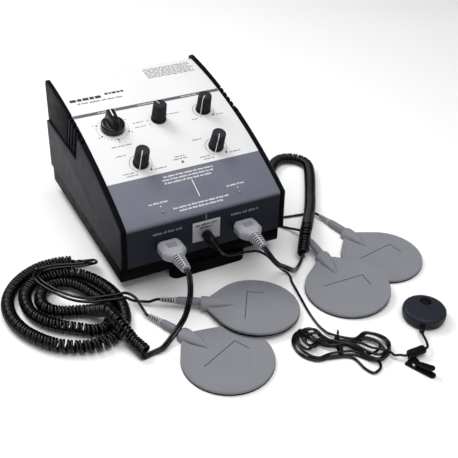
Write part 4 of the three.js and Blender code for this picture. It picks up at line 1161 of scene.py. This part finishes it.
def patient_switch(blue, black):
    matrix = ROW @ shift(SWITCH_X, SWITCH_Y, 0) @ spin(SWITCH_HEADING)
    lower = Solid().turn([(18, 0.0), (21.4, 0.0), (22.6, 0.4), (23.4, 1.4), (23.9, 3.2),
                          (24.0, 5.0), (23.6, 5.6), (22.8, 5.9)], 96)
    lower.piece("switch_base", blue, "switch_plastic", matrix, ["switch_case"], angle=26)
    profile = [(22.6, 5.7), (23.4, 5.95), (24.3, 6.3), (24.75, 7.0), (24.8, 8.0), (24.75, 10.6),
               (24.3, 12.2), (23.3, 13.4), (21.6, 14.2), (19.4, 14.6), (17.0, 14.75),
               (16.7, 14.62), (16.3, 14.62), (16.0, 14.8), (12.6, 14.95), (12.3, 14.83),
               (11.9, 14.83), (11.6, 14.97), (8.4, 15.0)]
    top = Solid().turn(profile + [(0.3, 15.0)], 96)
    upper = top.piece("switch_lid", blue, "switch_plastic", matrix, angle=22)
    # the well that the button sits in
    well = Solid().turn([(6.35, 9.0), (6.35, 14.2), (6.9, 14.8), (7.3, 16.5)], 48)
    well.moved(shift(11.5, 0, 0))
    carve(upper, well, matrix)
    button = Solid().turn([(5.9, 11.4), (6.0, 11.6), (6.0, 14.9), (5.8, 15.4), (5.3, 15.75),
                           (4.6, 15.85), (3.6, 15.6), (2.2, 15.35), (0.4, 15.25)], 56)
    button.moved(shift(11.5, 0, 0))
    button.piece("patient_button_cap", black, "switch_plastic", matrix, ["switch_button"],
                 angle=30, body="patient_button")
    # cord relief: flattened sleeve with two pairs of slots
    stations = [(-22.5, 3.8, 3.4), (-25.2, 3.7, 3.3), (-25.7, 2.7, 2.5), (-27.2, 2.7, 2.5),
                (-27.7, 3.4, 3.1), (-29.4, 3.3, 3.0), (-29.9, 2.5, 2.3), (-31.4, 2.5, 2.3),
                (-31.9, 3.0, 2.8), (-34.6, 2.6, 2.4), (-35.4, 2.0, 1.9)]
    rings = [[(d, w * squared(math.cos(t), 0.7), 7.2 + h * squared(math.sin(t), 0.7))
              for t in full_turn(28)] for d, w, h in stations]
    Solid().skin(rings).piece("switch_relief", black, "switch_plastic", matrix, angle=30)


CLIP_X, CLIP_Y, CLIP_HEADING, CLIP_OPEN = 127.5, -228.0, -66.0, 11.0


def leg(start, stop, half_w, z0, z1, ribs_from):
    """A clip leg with a rounded end and cross ribs on its outer half."""
    solid = Solid()
    outline = [(start, -half_w), (stop - half_w, -half_w)]
    outline += [(stop - half_w + half_w * math.cos(t), half_w * math.sin(t))
                for t in (math.pi * (k / 10 - 0.5) for k in range(1, 10))]
    outline += [(stop - half_w, half_w), (start, half_w)]
    solid.sheet(outline, lambda x, y: (x, y, z0), lambda x, y: (x, y, z1))
    x = ribs_from
    while x < stop - 3.0:
        solid.block(x, x + 1.0, -half_w * 0.78, half_w * 0.78, z1 - 0.1, z1 + 0.45)
        x += 2.1
    return solid


def clip(black):
    base = ROW @ shift(CLIP_X, CLIP_Y, 0) @ spin(CLIP_HEADING)
    foot = leg(-1, 33, 4, 0.0, 2.5, 20.0)
    for y in (-3.4, 3.4):
        cheek_outline = [(6.0, 2.0), (12.0, 2.0), (11.6, 6.4), (10.7, 8.3), (9.0, 9.2), (7.3, 8.3),
                         (6.4, 6.4)]
        foot.sheet(cheek_outline, lambda x, z, q=y: (x, q - 0.6, z),
                   lambda x, z, q=y: (x, q + 0.6, z))
    foot.piece("clip_body", black, "clip_plastic", base, ["clip_base"], angle=30, bevel=0.35)
    pin = Solid().turn([(1.1, -4.6), (1.5, -4.5), (1.5, -4.1), (0.9, -4.0), (0.9, 4.0), (1.5, 4.1),
                        (1.5, 4.5), (1.1, 4.6)], 24)
    pin.moved(shift(9.0, 0, 6.6) @ spin(90, "X"))
    pin.piece("clip_pin", STEEL, "shaft_steel", base, angle=30)
    barrel = Solid()
    profile = [(2.0, 131.5), (4.2, 131.5), (4.8, 132.0), (5.0, 133.0), (5.0, 143.6), (4.5, 144.0),
               (4.5, 144.8), (5.0, 145.2), (5.0, 149.6), (4.7, 151.0), (3.9, 151.7), (2.0, 151.8)]
    barrel.turn(profile, 40, axis="x")
    barrel.moved(shift(0, -223.8, 7.2))
    barrel.block(131.8, 138.9, -230.6, -222.2, 0.7, 4.4)
    barrel.piece("clip_cord_barrel", black, "clip_plastic", angle=30, bevel=0.3)
    lever = base @ shift(9.0, 0, 6.6) @ spin(-CLIP_OPEN, "Y")
    arm = leg(-4, 22, 3.6, -1.1, 1.15, 9.0)
    for v in arm.verts:
        if abs(v.x) < 4.6 and abs(v.y) > 2.5:
            v.y = math.copysign(2.45, v.y)
    arm.turn([(1.2, -2.4), (1.85, -2.3), (1.85, 2.3), (1.2, 2.4)], 24, axis="y")
    arm.piece("clip_lever_arm", black, "clip_plastic", lever, ["clip_jaw"], angle=30, bevel=0.3,
              body="clip_lever")


# ---- small fixings on the console ---------------------------------------------------
SCREW_R = 3.2


def rear_screws():
    """Pan-head screws near the corners of the rear panel."""
    solid = Solid()
    back = Vector((0, 0, 1)).rotation_difference(Vector((0, 1, 0))).to_matrix().to_4x4()
    for spot in [(x, REAR_Y, z) for x in (-88, 88) for z in (50, 138)]:
        head = Solid().turn([(SCREW_R * 0.9, 0.0), (SCREW_R, 0.25), (SCREW_R * 0.92, 1.0),
                             (SCREW_R * 0.6, 1.55), (SCREW_R * 0.3, 1.7), (0.1, 1.72)], 28)
        solid.join(head.moved(shift(*spot) @ back))
    solid.piece("rear_screws", STEEL, "shaft_steel", angle=30)


# ---- light and floor ----------------------------------------------------------------
def make_stage():
    mesh = bpy.data.meshes.new("floor")
    half, under = 4.0, -0.0002          # just below the lowest contact
    corners = [(a * half, b * half, under) for a, b in ((-1, -1), (1, -1), (1, 1), (-1, 1))]
    mesh.from_pydata(corners, [], [(0, 1, 2, 3)])
    floor = linked("floor", mesh)
    s = Shader("floor_pale", specular=0.2)
    s.color(s.ramp(s.noise(3.0), 0.3, 0.7, rgb(252, 252, 252), rgb(254, 254, 254)))
    s.roughness(s.noise(9.0), 0.55, 0.65)
    floor.data.materials.append(s.material)

    world = bpy.data.worlds.new("world")
    world.use_nodes = True
    background = world.node_tree.nodes["Background"]
    background.inputs["Color"].default_value = (1.0, 1.0, 1.0, 1.0)
    background.inputs["Strength"].default_value = 0.2
    bpy.context.scene.world = world

    centre = place(0, 60, 60)
    for name, spot, size, power, color in (
            ("key", (-420, 900, 1250), 0.7, 12.5, (1.0, 0.995, 0.99)),
            ("overhead", (20, -320, 2150), 2.0, 32.0, (1.0, 1.0, 1.0)),
            ("front", (-250, -1500, 1250), 1.5, 6.5, (1.0, 1.0, 1.0))):
        data = bpy.data.lights.new(name, "AREA")
        data.shape = "SQUARE"
        data.size = size
        data.energy = power
        data.color = color
        light = linked(name, data)
        where = place(*spot)
        light.location = where
        light.rotation_euler = (centre - where).to_track_quat("-Z", "Y").to_euler()
    bpy.context.scene.view_settings.view_transform = "Standard"


# ---- finishes of the frame's own nodes ------------------------------------------------
BAND_LOW, BAND_HIGH = (106, 109, 121), (113, 116, 128)      # the panel's grey-blue


def cover_paint():
    """Baked-on paint; the fascia's dark is partly its paint and partly painted shade; the front
    edge of the panel turns grey-blue.
    """
    s = Shader("cover_paint", specular=0.2)
    fine, cloud = s.noise(1500.0, 2.0), s.noise(26.0, 4.0)
    # painted shade: the fascia's near-black stands partly for its paint and partly for the shade on
    # the front face
    dark = s.ramp(cloud, 0.3, 0.7, rgb(20, 25, 34), rgb(25, 30, 40))
    z = s.math("ADD", s.axis("Z"), s.math("MULTIPLY", s.noise(500.0), 0.0004))
    edge = s.remap(z, 0.0868, 0.0905, 0.0, 1.0)
    ahead = s.remap(s.axis("Y"), ORIGIN_Y + 0.1, ORIGIN_Y + 0.12, 1.0, 0.0)
    s.color(s.mix(s.math("MULTIPLY", edge, ahead), dark, rgb(*BAND_LOW)))
    s.roughness(s.noise(80.0), 0.36, 0.5)
    s.bump(fine, 0.00003)
    s.bump(s.noise(240.0, 2.0), 0.00004, 0.6)
    return s.material


def panel_film():
    """Printed film: white, with a grey-blue band along the front."""
    s = Shader("panel_film", specular=0.12)
    fine, cloud = s.noise(1900.0, 2.0), s.noise(18.0, 4.0)
    white = s.ramp(cloud, 0.3, 0.7, rgb(224, 224, 225), rgb(229, 229, 230))
    band = s.ramp(s.noise(30.0, 3.0), 0.3, 0.7, rgb(*BAND_LOW), rgb(*BAND_HIGH))
    limit = ORIGIN_Y + BAND_END * MM
    edge = s.remap(s.axis("Y"), limit - 0.0001, limit + 0.0001, 1.0, 0.0)
    s.color(s.mix(edge, white, band))
    s.roughness(s.noise(70.0), 0.38, 0.5)
    s.bump(fine, 0.000025)
    return s.material


def cheek_plastic():
    """Moulded side: dark grey grained skin, with painted shade darkening its recess and its front
    edge.
    """
    s = Shader("cheek_plastic", specular=0.03)
    fine, cloud = s.noise(1100.0, 3.0), s.noise(22.0, 4.0)
    skin = s.ramp(cloud, 0.3, 0.72, rgb(58, 58, 63), rgb(68, 68, 73))
    outer = s.math("ABSOLUTE", s.math("SUBTRACT", s.axis("X"), ORIGIN_X))
    skin_depth = s.math("ADD", outer, s.math("MULTIPLY", s.noise(900.0), 0.0003))
    # painted shade: the recessed part of the side, where shade falls
    deep = s.remap(skin_depth, 0.1030, 0.1046, 1.0, 0.0)
    skin_with_recess_shade = s.mix(deep, skin, rgb(10, 12, 18))
    # painted shade: the front edge, which faces away from the key light
    front = s.remap(s.axis("Y"), ORIGIN_Y + 0.0002, ORIGIN_Y + 0.0007, 1.0, 0.0)
    s.color(s.mix(front, skin_with_recess_shade, rgb(8, 8, 10)))
    s.roughness(s.noise(120.0), 0.46, 0.6)
    s.bump(fine, 0.00009, 0.8)
    s.bump(cloud, 0.00005, 0.5)
    return s.material


def lens():
    """Unlit lamp lens: pale, glossy plastic."""
    s = Shader("lens", specular=0.6, coat=0.4)
    cloud = s.noise(700.0, 2.0)
    s.color(s.ramp(cloud, 0.3, 0.7, rgb(108, 98, 102), rgb(136, 120, 122)))
    s.roughness(cloud, 0.12, 0.22)
    s.bump(cloud, 0.00002)
    return s.material


def frame_materials():
    """Gives every node that stays visible its finish, softened edges and smooth shading."""
    black_case = moulded("base_plastic", rgb(8, 8, 10), 0.5, 0.14, specular=0.03)
    rubber_foot = moulded("skid_rubber", rgb(10, 10, 11), 0.7, 0.16, 700.0, 0.00008, specular=0.04)
    cover_skin(cover_paint())
    film_sheet(panel_film())
    cheek = cheek_plastic()
    board = moulded("board", rgb(36, 84, 50), 0.45, 0.15, 500.0)
    iron = metal("iron", rgb(96, 97, 100), 0.44, 0.6)
    dull_metal = metal("control_metal", rgb(168, 168, 165), 0.29, 0.45)
    plate = metal("plate_grey", rgb(176, 177, 181), 0.34, 0.46, 0.35, 500.0, 18, 0.93, 1.05, 90.0)
    socket = moulded("socket_black", rgb(10, 10, 12), 0.4, specular=0.1)
    case_paint = moulded("rear_paint", rgb(22, 26, 34), 0.5, 0.12, specular=0.1)
    shafts = [part + "_shaft" for part in ("timer", "mode", "rate", "intensity_a", "intensity_b")]
    groups = (
        (("left_cheek", "right_cheek"), cheek, 0.55, 32),
        (("base_pan",), black_case, 0.8, 32),
        (("rear_panel",), case_paint, 0.4, 32),
        (("front_skid", "rear_skid"), rubber_foot, 0.7, 32),
        (("main_board",), board, 0.0, 30),
        (("transformer",), iron, 0.5, 30),
        (shafts, STEEL, 0.0, 30),
        (("timer_body", "mode_switch_body", "rate_pot", "intensity_pot_a", "intensity_pot_b"),
         dull_metal, 0.3, 30),
        (("pulse_lamp", "pilot_lamp_a", "pilot_lamp_b"), lens(), 0.0, 40),
        (("jack_plate",), plate, 0.2, 32),
        (("output_socket_a", "output_socket_b", "patient_jack", "mains_inlet", "fuse_cap"),
         socket, 0.25, 32),
    )
    for names, material, bevel, angle in groups:
        for name in names:
            refine(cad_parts[name], material, bevel, angle)


def refine(obj, material, bevel, angle):
    """Finish for a node of the frame: its mesh stays as it is, modifiers soften its edges."""
    weld = obj.modifiers.new("weld", "WELD")
    weld.merge_threshold = 1e-6
    dress(obj, material, angle, bevel)


def cover_skin(paint):
    """Folded sheet: fascia, rounded fold, arched top and the lip at the rear."""
    front_slope = -ARC_START
    radius = 5.0
    lead = radius * math.tan((math.pi / 2 - front_slope) / 2)
    outer = [(0.0, 38.8), (0.0, 60.0), (0.0, FOLD_Z - lead - 0.6)]
    for k in range(11):
        t = math.pi - (math.pi / 2 - front_slope) * k / 10
        outer.append((radius + radius * math.cos(t), FOLD_Z - lead + radius * math.sin(t)))
    count = 44
    for k in range(count + 1):
        p = on_panel(0, lead + 0.6 + (PANEL_LENGTH - 3.6 - lead) * k / count)
        outer.append((p.y, p.z))
    outer += [(PANEL_DEPTH - 0.9, PANEL_TOP - 0.7), (PANEL_DEPTH - 0.25, PANEL_TOP - 1.6),
              (PANEL_DEPTH, PANEL_TOP - 3.0), (PANEL_DEPTH, PANEL_TOP - 16.0)]
    inner = [(PANEL_DEPTH - SHEET, PANEL_TOP - 16.0), (PANEL_DEPTH - SHEET, PANEL_TOP - 3.4)]
    for k in range(count, -1, -1):
        p = on_panel(0, lead + 1.4 + (PANEL_LENGTH - 6.4 - lead) * k / count, -SHEET)
        inner.append((p.y, p.z))
    inner += [(SHEET, FOLD_Z - lead - 1.0), (SHEET, 38.8)]
    solid = Solid().skin([[(x, y, z) for y, z in outer + inner] for x in (-97.2, 97.2)])
    solid.piece("cover_skin", paint, "cover_paint", replaces=["top_cover"], angle=35)


def film_sheet(film):
    """The printed film, thinned out towards its edges so that it lies flush."""
    solid = Solid()
    count = 90
    rings = []
    for k in range(count + 1):
        up = 3.2 + (PANEL_LENGTH - 2.4 - 3.2) * (k / count)
        lift = FILM_TOP * smooth((up - 1.0) / 14.0) * smooth((PANEL_LENGTH - 2.4 - up) / 5.0) + 0.02
        rings.append([on_panel(x, up, z) for x, z in
                      ((-96.9, -0.2), (96.9, -0.2), (96.9, lift - 0.25), (96.4, lift),
                       (-96.4, lift), (-96.9, lift - 0.25))])
    solid.skin(rings)
    solid.piece("film_sheet", film, "panel_film", replaces=["panel_overlay"], angle=35)


# ---- the model ------------------------------------------------------------------------
STEEL = metal("shaft_steel", rgb(182, 183, 186), 0.22, 0.38)


def build_leads():
    cord = moulded("cord_black", rgb(4, 4, 6), 0.16, 0.15, 900.0, 0.00002, specular=0.34)
    grey = moulded("boot_grey", rgb(122, 123, 131), 0.48, 0.08, specular=0.15)
    pale = moulded("boot_pale", rgb(168, 168, 176), 0.48, 0.06, specular=0.1)
    plug_grey = moulded("plug_grey", rgb(158, 159, 165), 0.42, 0.06, specular=0.12)
    seam = moulded("plug_seam", rgb(110, 110, 115), 0.6, 0.08)
    black = moulded("jack_black", rgb(11, 11, 13), 0.36, specular=0.12)
    plug_a = output_plug("plug_a", -CHANNEL_X, plug_grey, pale, seam, cord)
    plug_b = output_plug("plug_b", CHANNEL_X, plug_grey, pale, seam, cord)
    jack = switch_plug(black)
    connectors = {key: connector_piece(key, grey, pale, cord) for key in PADS}
    channels = (
        ("a", TWIN_A, CURL_A, (TAIL_A1, TAIL_A2), ("a", "b"), plug_a, ["twin_lead_a", "curl_a"],
         True),
        ("b", TWIN_B, CURL_B, (TAIL_B1, TAIL_B2), ("c", "d"), plug_b, ["twin_lead_b", "curl_b"],
         False),
    )
    for key, straight, curl, tails, ends, plug, replaced, joins in channels:
        yoke = yoke_piece("yoke_" + key, curl, tails, cord)
        twin_lead("channel_lead_" + key, straight, curl, joins, cord, replaced)
        for i, (tail, end) in enumerate(zip(tails, ends), 1):
            route = through(into_boot(tail, end), TAIL_STEP)
            round_cord(f"pad_lead_{end}", route, TAIL_D, cord, [f"tail_{key}{i}"])
    tie = hank_tie(black)
    round_cord("patient_lead", switch_route(), SWITCH_D, cord,
               ["switch_lead", "switch_hank", "switch_tail"], sides=10)


def build_console():
    black = moulded("knob_black", rgb(7, 8, 11), 0.26, 0.14, 1300.0, 0.00003, specular=0.17)
    cap = moulded("knob_cap", rgb(44, 46, 53), 0.42, 0.1, specular=0.12)
    white = moulded("print_white", rgb(222, 222, 224), 0.5, 0.03)
    ink = moulded("print_black", rgb(22, 22, 26), 0.55, 0.1)
    grey_ink = moulded("print_grey", rgb(88, 88, 94), 0.55, 0.06)
    gloss = moulded("knob_gloss", rgb(10, 11, 15), 0.2, 0.12, 1300.0, 0.00002, specular=0.4)
    timer_knob(gloss, white, cap)
    small_knob("mode", "mode_selector", MODE_X, ROW_2, -20, black, cap, white)
    small_knob("rate", "rate_control", RATE_X, ROW_2, 225, black, cap, white)
    small_knob("intensity_a", "intensity_control_a", -CHANNEL_X, ROW_1, 210, black, cap, white)
    small_knob("intensity_b", "intensity_control_b", CHANNEL_X, ROW_1, 210, black, cap, white)
    # painted shade: the fascia's white print, given grey as if in the front face's shade
    pale = moulded("print_white_in_painted_shade", rgb(124, 126, 132), 0.5, 0.04)
    panel_marks(ink, grey_ink, white)
    fascia_marks(ink, pale)
    frame_materials()
    rear_screws()


def build_accessories():
    rubber = moulded("pad_rubber", rgb(130, 132, 138), 0.6, 0.04, 520.0, 0.00006, specular=0.1)
    blue = moulded("switch_plastic", rgb(36, 40, 48), 0.42, 0.1, specular=0.14)
    black = moulded("clip_plastic", rgb(10, 10, 12), 0.36, 0.12, specular=0.12)
    # painted shade: darker lining for the pads' grooves, where shade falls inside them
    groove = moulded("pad_groove_painted_shade", rgb(56, 56, 62), 0.7, 0.05)
    carbon = moulded("pad_carbon", rgb(12, 12, 15), 0.6, 0.1, 700.0, 0.00005, specular=0.06)
    for key in PADS:
        pad_piece(key, rubber, groove, carbon)
    patient_switch(blue, black)
    clip(black)


make_camera()
build_leads()
build_console()
build_accessories()
make_stage()
